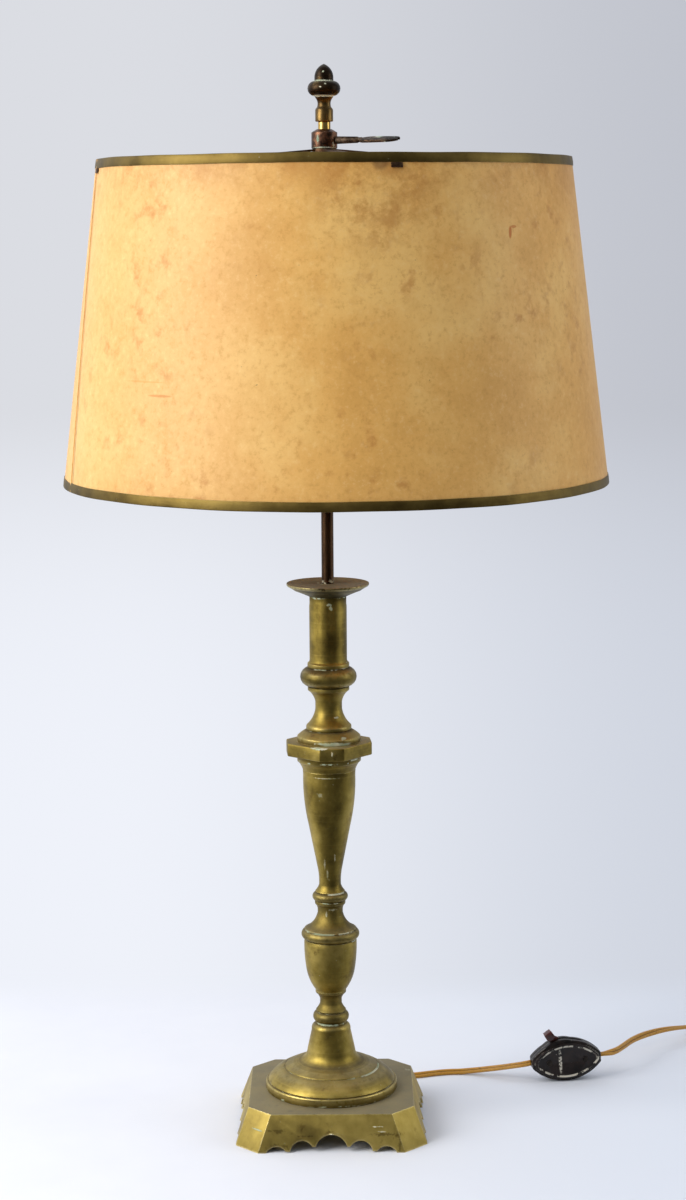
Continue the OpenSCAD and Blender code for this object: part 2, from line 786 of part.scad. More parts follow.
module cluster_body() {
    nipple_r = 7;
    color(BRASS)
    difference() {
        union() {
            translate([0, 0, cluster_z])
                sphere(r = cluster_r, $fn = 96);
            tube(cluster_z - cluster_r - 3, pipe_r + 3, stem_bore,
                2 * cluster_r + 6);
            for (s = [LEFT, RIGHT])
                at_socket(s)
                    cylinder(h = socket_start, r = nipple_r, $fn = 48);
        }
        translate([0, 0, cluster_z - 2 * cluster_r])
            cylinder(h = 4 * cluster_r, r = stem_bore, $fn = 64);
        for (s = [LEFT, RIGHT])
            at_socket(s)
                cylinder(h = socket_start + 1, r = 3, $fn = 32);
        translate([0, stem_bore - 1, cluster_z])
            rotate([-90, 0, 0])
                cylinder(h = cluster_r, r = 2 + running, $fn = 32);
    }
}

module cluster_screw() {
    color("gray")
    translate([0, pipe_r, cluster_z])
        rotate([-90, 0, 0])
            difference() {
                union() {
                    cylinder(h = cluster_r, r = 2, $fn = 32);
                    translate([0, 0, cluster_r - pipe_r])
                        cylinder(h = 2.4, r = 3.4, $fn = 32);
                }
                translate([-5, -0.4, cluster_r - pipe_r + 1.6])
                    cube([10, 0.8, 10]);
            }
}

module socket_leads() {
    color("ivory")
    for (s = [LEFT, RIGHT], w = [-1.1, 1.1])
        at_socket(s)
            translate([0, w, 2.5])
                cylinder(h = core_start - 2.5, r = 0.8, $fn = 24);
}

module socket_caps() {
    r = shell_r + running;
    color(BRASS)
    for (s = [LEFT, RIGHT])
        at_socket(s)
            rotate_extrude($fn = 96)
                polygon(concat([[3, socket_start], [8, socket_start]],
                    bow([8, socket_start], [r + cap_wall, socket_start
                    + bell_l], 2), [[r + cap_wall, socket_start + bell_l],
                    [r + cap_wall, shell_start + cap_rim_l],
                    [r, shell_start + cap_rim_l],
                    [r, shell_start - cap_wall],
                    [8, socket_start + 2 * cap_wall],
                    [3, socket_start + 2 * cap_wall]]));
}

module socket_shells() {
    color(BRASS)
    for (s = [LEFT, RIGHT])
        at_socket(s)
            tube(shell_start, shell_r, shell_r - shell_wall, socket_l, 96);
}

module socket_liners() {
    color("tan")
    for (s = [LEFT, RIGHT])
        at_socket(s)
            tube(shell_start + 0.5, liner_r, liner_r - liner_wall,
                socket_l - 1.5, 96);
}

module socket_cores() {
    color(BAKELITE)
    for (s = [LEFT, RIGHT])
        at_socket(s)
            translate([0, 0, core_start])
                difference() {
                    cylinder(h = core_l, r = core_r, $fn = 96);
                    for (w = [-8, 8])
                        translate([w, 0, -1])
                            cylinder(h = 5, r = 2, $fn = 32);
                }
}

module screw_shells() {
    inner = cap_r + 0.1;
    color(BRASS)
    for (s = [LEFT, RIGHT])
        at_socket(s)
            tube(core_end, inner + 0.5, inner, shell_end - core_end - 1,
                96);
}

module centre_contacts() {
    color(COPPER)
    for (s = [LEFT, RIGHT])
        at_socket(s)
            translate([0, 0, core_end])
                cylinder(h = contact_h, r = 2.5, $fn = 32);
}

module bulb_glass(side) {
    centre = bulb_top - bulb_r;
    neck = [neck_r, glass_start + 8];
    join_z = centre - 0.52 * bulb_r;
    join = [sqrt(bulb_r * bulb_r - pow(join_z - centre, 2)), join_z];
    inner = bulb_r - glass_wall;
    neck_in = neck - [glass_wall, 0];
    join_in = [join[0] - glass_wall, join[1]];
    color("white", 0.5)
    at_socket(side)
        rotate_extrude($fn = 96)
            polygon(concat([[neck_r, glass_start], neck],
                bow(neck, join, -0.5, 5), [join], [for (a = [-25:10:85])
                [bulb_r * cos(a), centre + bulb_r * sin(a)]],
                [[0, bulb_top], [0, bulb_top - glass_wall]],
                [for (a = [85:-10:-25]) [inner * cos(a), centre
                + inner * sin(a)]], [join_in], bow(join_in, neck_in, 0.5,
                5), [neck_in, [neck_in[0], glass_start]]));
}

module bulb_cap(side) {
    color("silver")
    at_socket(side)
        translate([0, 0, bulb_foot])
            rotate_extrude($fn = 96)
                polygon([[0, 0], [4.5, 0], [4.8, 0.8], [9, 1.4],
                    [cap_r - 0.8, 3], [cap_r, 3.8], [cap_r, bulb_cap_l],
                    [cap_r - 0.6, bulb_cap_l], [cap_r - 0.6, 4.4],
                    [8.6, 2.2], [0, 1.6]]);
}

// The glass foot inside the bulb and the filament across its end
module bulb_stem(side) {
    stem_l = 34;
    color("lightgray")
    at_socket(side)
        translate([0, 0, glass_start]) {
            cylinder(h = 1.4, r = neck_r - glass_wall - running,
                $fn = 64);
            cylinder(h = stem_l, r = 2.4, $fn = 32);
            translate([-8, 0, stem_l + 0.2])
                rotate([0, 90, 0])
                    cylinder(h = 16, r = 0.4, $fn = 16);
        }
}

// The sliding collar and its neck
module collar() {
    r = collar_d / 2;
    top_r = pipe_r + 0.9;
    color(COPPER)
    difference() {
        turned(0, stem_bore, [[neck_d / 2, nut_top - neck_nut_t],
            [neck_d / 2, collar_z], [r - 0.3, collar_z],
            [r, collar_z + 0.4], [r, collar_z + collar_h],
            [top_r, collar_z + collar_h + collar_cone_h]]);
        at_key()
            translate([stem_bore - 1, 0, 0])
                rotate([0, 90, 0])
                    cylinder(h = r, r = key_screw_d / 2 + running,
                        $fn = 48);
    }
}

module collar_nut() {
    color(BRASS)
    translate([0, 0, nut_top - neck_nut_t])
        difference() {
            linear_extrude(neck_nut_t)
                circle(d = neck_d + 8, $fn = 6);
            translate([0, 0, -1])
                cylinder(h = neck_nut_t + 2, r = neck_d / 2 + running,
                    $fn = 64);
        }
}

module at_key() {
    translate([0, 0, key_z])
        rotate([0, 0, -key_turn])
            children();
}

module key() {
    shank_r = key_shank_d / 2;
    start = collar_d / 2 + face_gap;
    tip = pipe_r + free_gap;
    end = key_shank_end;
    plate_mid = end + 1 + thumb_l / 2;
    round_r = thumb_w / 2;
    round_x = thumb_l / 2 - round_r;
    color(COPPER)
    at_key() {
        rotate([0, 90, 0])
            rotate_extrude($fn = 48)
                polygon([[0, tip], [key_screw_d / 2 - 0.5, tip],
                    [key_screw_d / 2, tip + 0.6],
                    [key_screw_d / 2, start], [shank_r - 0.2, start],
                    [shank_r, start + 0.6], [shank_r - 0.5, end - 1.4],
                    [shank_r - 1.1, end], [shank_r - 1.1, end + 2.4],
                    [0, end + 2.4]]);
        intersection() {
            translate([plate_mid, 0, -5])
                linear_extrude(10) {
                    for (s = [LEFT, RIGHT])
                        translate([s * round_x, 0])
                            circle(r = round_r, $fn = 64);
                    square([2 * round_x, thumb_w], center = true);
                }
            translate([0, thumb_w, 0])
                rotate([90, 0, 0])
                    linear_extrude(2 * thumb_w)
                        polygon([[end, -1.9], [end + 6, -2.3],
                            [end + thumb_l + 2, -1.6],
                            [end + thumb_l + 2, 1], [end + 6, 2.4],
                            [end, 2.1]]);
        }
    }
}

// The spider: a hub ring and four flat arms, each brazed on the hub and
// folded down outside the parchment as a tab
module spider_hub() {
    color("#3a2416")
    tube(hub_under, hub_d / 2, neck_d / 2 + running + 0.01, hub_h);
}

module spider_arms() {
    fold_gap = 0.2;
    wall0 = shade_r(arm_end_z) + fold_gap;
    wall1 = shade_r(arm_end_z - tab_h) + fold_gap;
    step = shade_r(arm_end_z - arm_t) + fold_gap;
    color("#3a2416")
    difference() {
        for (k = [0:3])
            at_arm(k) {
                root = hub_d / 2 - 2 + shade_r(arm_end_z) - norm(arm_foot(k));
                translate([0, arm_w / 2, 0])
                    rotate([90, 0, 0])
                        linear_extrude(arm_w)
                            polygon([[root, hub_top - 0.3],
                                [wall0 + 1, arm_end_z],
                                [wall1 + 1, arm_end_z - tab_h],
                                [wall1, arm_end_z - tab_h],
                                [step, arm_end_z - arm_t],
                                [root, hub_top - 0.3 - arm_t]]);
            }
        translate([0, 0, hub_under - 1])
            cylinder(h = hub_h + 2, r = hub_d / 2, $fn = 64);
    }
}

module shade_parchment() {
    slit = 0.15;
    color("#e0b878")
    difference() {
        translate([shade_off, 0, 0])
            rotate_extrude($fn = 180)
                polygon([[shade_r(parchment_bottom) - parchment_t,
                    parchment_bottom],
                    [shade_r(parchment_bottom), parchment_bottom],
                    [shade_r(parchment_top), parchment_top],
                    [shade_r(parchment_top) - parchment_t,
                    parchment_top]]);
        for (k = [0:3])
            at_arm(k)
                translate([shade_r(arm_end_z) - 5, -arm_w / 2 - slit,
                    arm_end_z - arm_t - slit])
                    cube([10, arm_w + 2 * slit, arm_t + 2.5 * slit]);
    }
}

// A trim is a channel of sheet folded over the edge and its wire ring
module trim(edge, dir) {
    reach = parchment_t + wire_d;
    cap = edge + dir * trim_t;
    foot = cap - dir * trim_h;
    inner_foot = cap - dir * (wire_d + trim_t + 1);
    color("#7d6a35")
    translate([shade_off, 0, 0])
        rotate_extrude($fn = 180)
            polygon([[shade_r(foot) + trim_t, foot],
                [shade_r(cap) + trim_t, cap],
                [shade_r(cap) - reach - trim_t, cap],
                [shade_r(inner_foot) - reach - trim_t, inner_foot],
                [shade_r(inner_foot) - reach, inner_foot],
                [shade_r(edge) - reach, edge], [shade_r(edge), edge],
                [shade_r(foot), foot]]);
}

module wire(edge, dir) {
    z = edge - dir * (wire_d / 2 + 0.05);
    color("dimgray")
    translate([shade_off, 0, z])
        rotate_extrude($fn = 180)
            translate([shade_r(z) - parchment_t - wire_d / 2, 0])
                circle(r = wire_d / 2 - 0.1, $fn = 24);
}

// The finial: a barrel that caps the pipe, and an acorn on its stud
module finial_barrel() {
    r = barrel_d / 2;
    waist_z = barrel_straight + 2;
    top_r = r + 0.1;
    bore_l = pipe_top + free_gap - finial_z;
    stud_r = 2.5;
    color(BRASS)
    difference() {
        turned(finial_z, 0, concat([[r - 0.3, 0], [r, 0.4],
            [r, barrel_straight], [r - 0.5, barrel_straight + 1],
            [waist_d / 2 + 0.7, waist_z]],
            bow([waist_d / 2 + 0.7, waist_z], [top_r, barrel_h - 0.8],
            -1.1), [[top_r, barrel_h - 0.8], [top_r, barrel_h],
            [stud_r, barrel_h], [stud_r, barrel_h + 6]]));
        translate([0, 0, finial_z - 1])
            cylinder(h = bore_l + 1, r = stem_bore, $fn = 64);
    }
}

module finial_acorn() {
    cup0 = [cup_d / 2 - 4.4, 0.2];
    cup1 = [cup_d / 2 - 4.4, cup_h - 0.2];
    nut0 = [acorn_d / 2, cup_h];
    nut1 = [acorn_d / 2, cup_h + 2.8];
    tip = [0, cup_h + acorn_h];
    color("#3b2c1a")
    difference() {
        turned(finial_z + barrel_h, 0, concat([[cup0[0] - 0.8, 0], cup0],
            bow(cup0, cup1, 4.4, 12), [cup1, nut0, nut1],
            bow(nut1, tip, 1.9, 8), [tip]));
        translate([0, 0, finial_z + barrel_h - 1])
            cylinder(h = 7.5, r = 2.5 + running, $fn = 48);
    }
}

// The in-line switch, drawn upright with its split on the plane y = 0
module at_switch() {
    translate(switch_place)
        rotate([0, -switch_tilt, switch_yaw])
            children();
}

module slab(y0, y1) {
    translate([0, y1, 0])
        rotate([90, 0, 0])
            linear_extrude(y1 - y0)
                children();
}

module pointed_oval(inset) {
    intersection() {
        translate([0, -arc_off])
            circle(r = arc_r - inset, $fn = 180);
        translate([0, arc_off])
            circle(r = arc_r - inset, $fn = 180);
        square([switch_l - 2 * inset, 2 * switch_w], center = true);
    }
}

// The low hump on the edge that guards the lever's slot
module hump() {
    hump_r = 25;
    intersection() {
        translate([-2.5, switch_w / 2 + 1 - hump_r])
            circle(r = hump_r, $fn = 120);
        translate([-half_l, 5])
            square([switch_l, switch_w]);
    }
}

function at_lean(x, y) =
    [x * cos(lever_lean) - y * sin(lever_lean),
        x * sin(lever_lean) + y * cos(lever_lean)];

module lever_slot() {
    reach = switch_w;
    side = lever_root / 2 + free_gap;
    slab(-lever_t / 2 - free_gap, lever_t / 2 + free_gap)
        polygon([[0, 0], at_lean(-side, 0), at_lean(-side, reach),
            [0, 1.6 * reach], reach * [sin(46), cos(46)]]);
}

module switch_half(dir) {
    y_face = dir * switch_t / 2;
    y_step = dir * (switch_t / 2 - 2.6);
    y_in = dir * (switch_t / 2 - 2.8);
    color(BAKELITE)
    at_switch()
        difference() {
            union() {
                slab(min(0, y_step), max(0, y_step))
                    union() {
                        pointed_oval(0);
                        hump();
                    }
                slab(min(y_step, y_face), max(y_step, y_face))
                    pointed_oval(2.2);
            }
            slab(min(y_face - dir * 0.6, y_face + dir), max(y_face - dir
                * 0.6, y_face + dir))
                pointed_oval(4.2);
            slab(min(-dir, y_in), max(-dir, y_in))
                pointed_oval(cavity_inset);
            lever_slot();
            for (s = [LEFT, RIGHT])
                translate([s * screw_x, 0, 0])
                    rotate([90, 0, 0])
                        cylinder(h = 2 * switch_t, r = 1.6, $fn = 32,
                            center = true);
            rotate([90, 0, 0])
                cylinder(h = switch_t - 3.2, r = pin_r + running,
                    $fn = 32, center = true);
        }
}

module switch_lever() {
    color("#4a1d14")
    at_switch()
        rotate([0, -lever_lean, 0])
            difference() {
                union() {
                    slab(-lever_t / 2, lever_t / 2)
                        union() {
                            circle(r = hub_r, $fn = 48);
                            polygon([[-lever_root / 2, 0],
                                [lever_root / 2, 0], [2, lever_l],
                                [-2, lever_l]]);
                            polygon([[0, 18.7], [5.5, 19.1],
                                [2, lever_l]]);
                        }
                    slab(-3.5, 3.5)
                        union() {
                            translate([0, lever_l])
                                circle(r = 3.7, $fn = 48);
                            translate([-3.2, lever_l])
                                square([6.4, 3.6]);
                        }
                }
                rotate([90, 0, 0])
                    cylinder(h = 10, r = pin_r + running, $fn = 32,
                        center = true);
            }
}

module switch_pin() {
    color("silver")
    at_switch()
        rotate([90, 0, 0])
            cylinder(h = switch_t - 3.3, r = pin_r, $fn = 32,
                center = true);
}

module switch_contacts() {
    y_back = switch_t / 2 - 2.8;
    color(BRASS)
    at_switch()
        for (s = [LEFT, RIGHT])
            translate([0, y_back, 0])
                rotate([90, 0, 0])
                    linear_extrude(3)
                        polygon([[s * 6.5, -6.5], [s * 19, -6.5],
                            [s * 21, -4.5], [s * 21, 2.5], [s * 18.5, 2.5],
                            [s * 18.5, -5], [s * 6.5, -5]]);
}

module switch_screws() {
    face = switch_t / 2 - 0.6;
    color("dimgray")
    at_switch()
        for (s = [LEFT, RIGHT])
            translate([s * screw_x, 0, 0])
                rotate([90, 0, 0]) {
                    translate([0, 0, -face])
                        cylinder(h = 2 * face, r = 1.5, $fn = 32);
                    translate([0, 0, face])
                        cylinder(h = 0.5, r = 2.5, $fn = 32);
                }
}

// Where the cord meets each end of the switch, just clear of its face
function switch_tip(side) =
    let (d = side * (half_l + free_gap))
    switch_place + d * [cos(switch_tilt) * cos(switch_yaw),
        cos(switch_tilt) * sin(switch_yaw), sin(switch_tilt)];

module cord_to_switch() {
    cord_sweep(concat(to_switch, [switch_tip(LEFT)]));
}

module cord_to_coil() {
    cord_sweep(concat([switch_tip(RIGHT)], to_coil,
        [[coil_place[0] - 8, coil_place[1] + coil_r + 2.4, 2.4]]));
}

module cord_coil() {
    color("goldenrod")
    translate([coil_place[0], coil_place[1], coil_lift])
        rotate_extrude($fn = 96)
            translate([coil_r - turn_pitch, 0])
                square([2 * turn_pitch, coil_h]);
}

module cord_to_plug() {
    cord_sweep(concat(over_coil, to_plug, [[plug_place[0], plug_place[1],
        plug_t / 2 + 0.1]]));
}

// A band around the bundle of turns, on the side away from the lamp
module cord_tie() {
    w = 2 * (turn_pitch + tie_t);
    h = coil_h + 2 * tie_t;
    color("black")
    translate([coil_place[0], coil_place[1] - coil_r, coil_lift
        - tie_t + h / 2])
        rotate([0, 90, 0])
            difference() {
                cube([h, w, tie_w], center = true);
                cube([coil_h + 0.02, 2 * turn_pitch + 0.5, tie_w + 1],
                    center = true);
            }
}

// The plug lies behind its strain relief, with its blades to the front
module at_plug(back) {
    translate([plug_place[0], plug_place[1] - back, plug_t / 2 + 0.1])
        rotate([90, 0, 0])
            children();
}

module plug_relief() {
    color(BAKELITE)
    at_plug(0.1)
        cylinder(h = relief_l - 0.1, r1 = 3.3, r2 = 5.4, $fn = 48);
}

module plug_body() {
    color(BAKELITE)
    at_plug(relief_l)
        linear_extrude(plug_l) {
            square([plug_w - 4, plug_t], center = true);
            square([plug_w, plug_t - 4], center = true);
            for (x = [LEFT, RIGHT], y = [LEFT, RIGHT])
                translate([x * (plug_w / 2 - 2), y * (plug_t / 2 - 2)])
                    circle(r = 2, $fn = 32);
        }
}

module plug_blades() {
    blade_w = 6.3;
    blade_t = 1.5;
    blade_l = 17;
    blade_gap = 12.7;
    color("silver")
    for (s = [LEFT, RIGHT])
        at_plug(relief_l + plug_l)
            translate([s * blade_gap / 2 - blade_t / 2, -blade_w / 2, 0])
                difference() {
                    cube([blade_t, blade_w, blade_l]);
                    translate([-1, blade_w / 2, blade_l - 4])
                        rotate([0, 90, 0])
                            cylinder(h = 4, r = 1.6, $fn = 32);
                }
}

plinth();
base_dome();
lower_knop();
urn();
urn_rim();
upper_knop();
baluster();
platform();
scotia();
torus_ring();
candle_tube();
drip_pan();
lamp_pipe();
base_washer();
lock_nut();
pipe_bushing();
pipe_cord();
base_cord();
cluster_body();
cluster_screw();
socket_leads();
socket_caps();
socket_shells();
socket_liners();
socket_cores();
screw_shells();
centre_contacts();
bulb_glass(LEFT);  // left_bulb_glass
bulb_cap(LEFT);  // left_bulb_cap
bulb_stem(LEFT);  // left_bulb_stem
bulb_glass(RIGHT);  // right_bulb_glass
bulb_cap(RIGHT);  // right_bulb_cap
bulb_stem(RIGHT);  // right_bulb_stem
collar();
collar_nut();
key();
spider_hub();
spider_arms();
shade_parchment();
wire(parchment_top, 1);  // top_wire
wire(parchment_bottom, -1);  // bottom_wire
trim(parchment_top, 1);  // top_trim
trim(parchment_bottom, -1);  // bottom_trim
finial_barrel();
finial_acorn();
switch_half(-1);  // switch_front
switch_half(1);  // switch_back
switch_lever();
switch_pin();
switch_contacts();
switch_screws();
cord_to_switch();
cord_to_coil();
cord_coil();
cord_to_plug();
cord_tie();
plug_body();
plug_relief();
plug_blades();
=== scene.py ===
import json
import math

import bmesh
import bpy
from mathutils import Matrix, Vector

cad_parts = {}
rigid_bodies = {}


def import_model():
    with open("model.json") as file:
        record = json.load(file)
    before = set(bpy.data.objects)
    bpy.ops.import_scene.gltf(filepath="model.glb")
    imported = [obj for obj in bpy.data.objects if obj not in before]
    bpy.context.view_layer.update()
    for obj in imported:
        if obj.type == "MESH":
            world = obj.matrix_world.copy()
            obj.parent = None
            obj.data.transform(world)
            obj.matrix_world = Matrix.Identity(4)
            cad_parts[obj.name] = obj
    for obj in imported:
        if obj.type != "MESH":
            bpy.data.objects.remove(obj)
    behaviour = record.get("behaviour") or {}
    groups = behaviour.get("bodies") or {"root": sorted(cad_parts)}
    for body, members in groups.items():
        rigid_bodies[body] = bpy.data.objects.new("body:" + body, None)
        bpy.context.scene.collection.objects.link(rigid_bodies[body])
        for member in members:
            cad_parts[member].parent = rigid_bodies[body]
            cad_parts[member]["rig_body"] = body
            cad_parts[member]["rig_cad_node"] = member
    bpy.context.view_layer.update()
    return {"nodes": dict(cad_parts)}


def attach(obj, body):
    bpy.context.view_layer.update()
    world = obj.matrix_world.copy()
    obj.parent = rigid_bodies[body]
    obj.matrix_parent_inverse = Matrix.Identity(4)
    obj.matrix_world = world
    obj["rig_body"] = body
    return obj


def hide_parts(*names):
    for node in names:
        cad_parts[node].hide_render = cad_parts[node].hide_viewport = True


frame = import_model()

nodes = frame["nodes"]

# --- Camera ---
# A long lens level with the shade, tipped down a little and a touch off level.
# Places are in metres here and angles are in degrees.
camera_place = (0.0118, -1.928, 0.714)
camera_tip = 81.4
camera_roll = -0.388
bpy.ops.object.select_all(action="DESELECT")
bpy.ops.object.camera_add()
camera = bpy.context.object
camera.name = "camera"
camera.data.lens = 75
camera.data.sensor_width = 36
camera.matrix_world = (Matrix.Translation(camera_place)
                       @ Matrix.Rotation(math.radians(camera_tip), 4, "X")
                       @ Matrix.Rotation(math.radians(camera_roll), 4, "Z"))
bpy.context.scene.camera = camera

# --- Lamp cord ---
# Flat twin cord: two stranded cores side by side in clear amber plastic, with
# a groove between them. It comes out of the back of the base, runs to the
# switch, and on to a spare length that is coiled and tied beside its plug.
cord_width = 0.0055
cord_thick = 0.0028
web_thick = 0.0012
floor_gap = 0.0001
cord_uv = 10
# How far it leans off the flat, in degrees: over towards the switch, and on edge
# in the bend past it. The pairs are distances along it, in metres.
switch_lean = 32
lean_over = (0.03, 0.07)
edge_lean = 78
edge_up = (0.002, 0.018)
edge_down = (0.05, 0.13)
# Its ways, point by point in metres
base_exit = (0, 0.075, 0.0015)
switch_left = (0.16701, 0.0879, 0.01544)
switch_right = (0.22539, 0.0961, 0.01956)
base_to_switch = [
    base_exit, (0, 0.081, 0.0015), (0.0015, 0.0875, 0.0015),
    (0.006, 0.0935, 0.0015), (0.014, 0.097, 0.0015), (0.025, 0.097, 0.0015),
    (0.037, 0.0955, 0.0015), (0.049, 0.094, 0.0015), (0.061, 0.0945, 0.0015),
    (0.073, 0.097, 0.0015), (0.085, 0.101, 0.0015), (0.097, 0.104, 0.0018),
    (0.109, 0.1045, 0.0024), (0.12, 0.1025, 0.004), (0.131, 0.099, 0.0064),
    (0.142, 0.0945, 0.0092), (0.151, 0.0906, 0.0118), (0.1593, 0.088, 0.0139),
    switch_left,
]
switch_to_coil = [
    switch_right, (0.2312, 0.0977, 0.0198), (0.2366, 0.1012, 0.0198),
    (0.2415, 0.107, 0.0196), (0.248, 0.1185, 0.0191), (0.2565, 0.1345, 0.0184),
    (0.2665, 0.1487, 0.0176), (0.2773, 0.1603, 0.0168), (0.2875, 0.1703, 0.0157),
    (0.2985, 0.18, 0.014), (0.3095, 0.189, 0.0119), (0.3195, 0.1985, 0.0095),
    (0.3275, 0.209, 0.0072), (0.334, 0.22, 0.0052), (0.3415, 0.2305, 0.0037),
    (0.351, 0.2385, 0.0028), (0.361, 0.2426, 0.0024), (0.366, 0.2434, 0.0024),
]
coil_middle = (0.374, 0.209)
coil_radius = 0.032
coil_tracks = [(1, 0), (-1, 0), (-1, 1), (1, 1), (1, 2), (-1, 2), (0, 3.03)]
coil_changes = [320, 650, 980, 1312, 1640, 1955]
coil_end = 2250
coil_step = 6
change_turn = 60
track_gap = 0.00285
layer_gap = 0.003
lowest_layer = 0.0025
coil_to_plug = [
    (0.406, 0.198, 0.0116), (0.406, 0.188, 0.0108), (0.406, 0.178, 0.0092),
    (0.406, 0.168, 0.0076), (0.406, 0.163, 0.0071), (0.406, 0.1575, 0.0071),
]


def smooth_way(points, parts):
    """Fills in a soft curve through points, with parts steps between each pair."""
    points = [Vector(p) for p in points]
    way = []
    for i in range(len(points) - 1):
        a, b = points[max(i - 1, 0)], points[i]
        c, d = points[i + 1], points[min(i + 2, len(points) - 1)]
        for k in range(parts):
            t = k / parts
            way.append(0.5 * (2 * b + (c - a) * t + (2 * a - 5 * b + 4 * c - d) * t * t
                              + (3 * b - a - 3 * c + d) * t ** 3))
    return way + [points[-1]]


def ease(x, low, high):
    """0 up to low, 1 from high on, smooth between."""
    t = min(max((x - low) / (high - low), 0), 1)
    return t * t * (3 - 2 * t)


def coil_way():
    """The coil's turns: round one track, then across or up to the next."""
    way = []
    for turn in range(0, coil_end + 1, coil_step):
        side, layer = coil_tracks[0]
        for change, track in zip(coil_changes, coil_tracks[1:]):
            falloff_across = ease(turn, change, change + change_turn)
            side += (track[0] - side) * falloff_across
            layer += (track[1] - layer) * falloff_across
        angle = math.radians(90 - turn)
        radius = coil_radius + side * track_gap
        way.append(Vector((coil_middle[0] + radius * math.cos(angle),
                           coil_middle[1] + radius * math.sin(angle),
                           lowest_layer + layer * layer_gap)))
    return way


def lay_cord(name, way, twist):
    """Sweeps the twin section along way. twist gives its lean off the flat,
    in degrees, for a distance from the start."""
    lobe = cord_thick / 2
    off = (cord_width - cord_thick) / 2
    turns = [math.radians(a) for a in range(-140, 141, 28)]
    half = [(off + lobe * math.cos(a), lobe * math.sin(a)) for a in turns]
    half = [(0, -web_thick / 2)] + half
    section = half + [(-x, -y) for x, y in half]
    mesh = bpy.data.meshes.new(name)
    shape = bmesh.new()
    uv = shape.loops.layers.uv.new("UVMap")
    rings, marks, gone = [], [], 0
    for i, p in enumerate(way):
        ahead = (way[min(i + 1, len(way) - 1)] - way[max(i - 1, 0)]).normalized()
        gone += (p - way[i - 1]).length if i else 0
        flat = Vector((0, 0, 1)).cross(ahead).normalized()
        side = Matrix.Rotation(math.radians(twist(gone)), 3, ahead) @ flat
        lift = ahead.cross(side)
        rest = lobe + off * abs(math.sin(math.radians(twist(gone)))) + floor_gap
        p = Vector((p.x, p.y, max(p.z, rest)))
        rings.append([shape.verts.new(p + side * x + lift * y) for x, y in section])
        marks.append(gone)
    around = len(section)
    for i in range(len(rings) - 1):
        for j in range(around):
            k = (j + 1) % around
            corners = (rings[i][j], rings[i][k], rings[i + 1][k], rings[i + 1][j])
            face = shape.faces.new(corners)
            face.smooth = True
            places = ((i, j), (i, j + 1), (i + 1, j + 1), (i + 1, j))
            for loop, (ring, step) in zip(face.loops, places):
                loop[uv].uv = (marks[ring] * cord_uv, step / around)
    shape.faces.new(rings[0])
    shape.faces.new(rings[-1])
    bmesh.ops.recalc_face_normals(shape, faces=shape.faces)
    shape.to_mesh(mesh)
    shape.free()
    piece = bpy.data.objects.new(name, mesh)
    bpy.context.scene.collection.objects.link(piece)
    return piece


first_way = smooth_way(base_to_switch, 4)
first_cord = lay_cord("cord_base_to_switch", first_way,
                      lambda s: switch_lean * ease(s, *lean_over))
second_way = smooth_way(switch_to_coil, 5) + coil_way()[1:] + smooth_way(coil_to_plug, 3)
second_cord = lay_cord(
    "cord_switch_to_plug", second_way,
    lambda s: edge_lean * ease(s, *edge_up) * (1 - ease(s, *edge_down)))

# --- Plinth ---
# Cast brass base: a square block with cut corners and an arcade of arches in
# each side. It is left as cast inside and was once polished outside; its
# upright edges are rubbed bright. The pipe's lock nut holds it to the stem.
mm = 0.001
base_h = 27.7


def rgb(red, green, blue):
    """A colour in steps of 0 to 255, turned into the linear one of a shader."""
    return (*(c / 3295 if c < 11 else ((c / 255 + 0.055) / 1.055) ** 2.4
              for c in (red, green, blue)), 1)


def feed(node, inputs):
    """Links or sets a node's inputs."""
    for name, value in inputs.items():
        if isinstance(value, bpy.types.NodeSocket):
            node.id_data.links.new(value, node.inputs[name])
        else:
            node.inputs[name].default_value = value


def put(spot, kind, inputs=None, **settings):
    """Adds a node to a tree; spot is the tree, or any node or socket in it."""
    node = spot.id_data.nodes.new("ShaderNode" + kind)
    for name, value in settings.items():
        setattr(node, name, value)
    feed(node, inputs or {})
    return node


def new_finish(name):
    """A new material, its shader, and the socket that says where a point is."""
    material = bpy.data.materials.new(name)
    material.use_nodes = True
    material.node_tree.nodes.clear()
    shader = put(material.node_tree, "BsdfPrincipled")
    put(shader, "OutputMaterial", {"Surface": shader.outputs[0]})
    return material, shader, put(shader, "TexCoord").outputs["Object"]


def paint(shader, colour, rough, metal=0, shine=0.5):
    feed(shader, {"Base Color": colour, "Roughness": rough, "Metallic": metal,
                  "Specular IOR Level": shine})


def split(where):
    return put(where, "SeparateXYZ", {0: where}).outputs


def moved(where, **how):
    return put(where, "Mapping", {"Vector": where, **how}).outputs[0]


def noise(where, scale, detail=4, rough=0.55, stretch=None):
    if stretch:
        where = moved(where, Scale=stretch)
    return put(where, "TexNoise", {"Vector": where, "Scale": scale, "Detail": detail,
                                   "Roughness": rough}).outputs[0]


def fade(value, low, high):
    """0 below low, 1 above high, smooth between."""
    return put(value, "MapRange", {"Value": value, "From Min": low, "From Max": high},
               interpolation_type="SMOOTHSTEP").outputs[0]


def socket_in(*values):
    return next(v for v in values if isinstance(v, bpy.types.NodeSocket))


def maths(what, a, b=0):
    return put(socket_in(a, b), "Math", {0: a, 1: b}, operation=what).outputs[0]


def plus(a, b):
    return maths("ADD", a, b)


def less(a, b):
    return maths("SUBTRACT", a, b)


def times(a, b):
    return maths("MULTIPLY", a, b)


def larger(a, b):
    return maths("MAXIMUM", a, b)


def blend(share, a, b):
    return put(socket_in(share, a, b), "Mix", {0: share, 6: a, 7: b}, data_type="RGBA").outputs[2]


def over(colour, mask, amount, top):
    """Colour with top, in steps of 0 to 255, laid over it by mask and amount."""
    return blend(times(mask, amount), colour, rgb(*top))


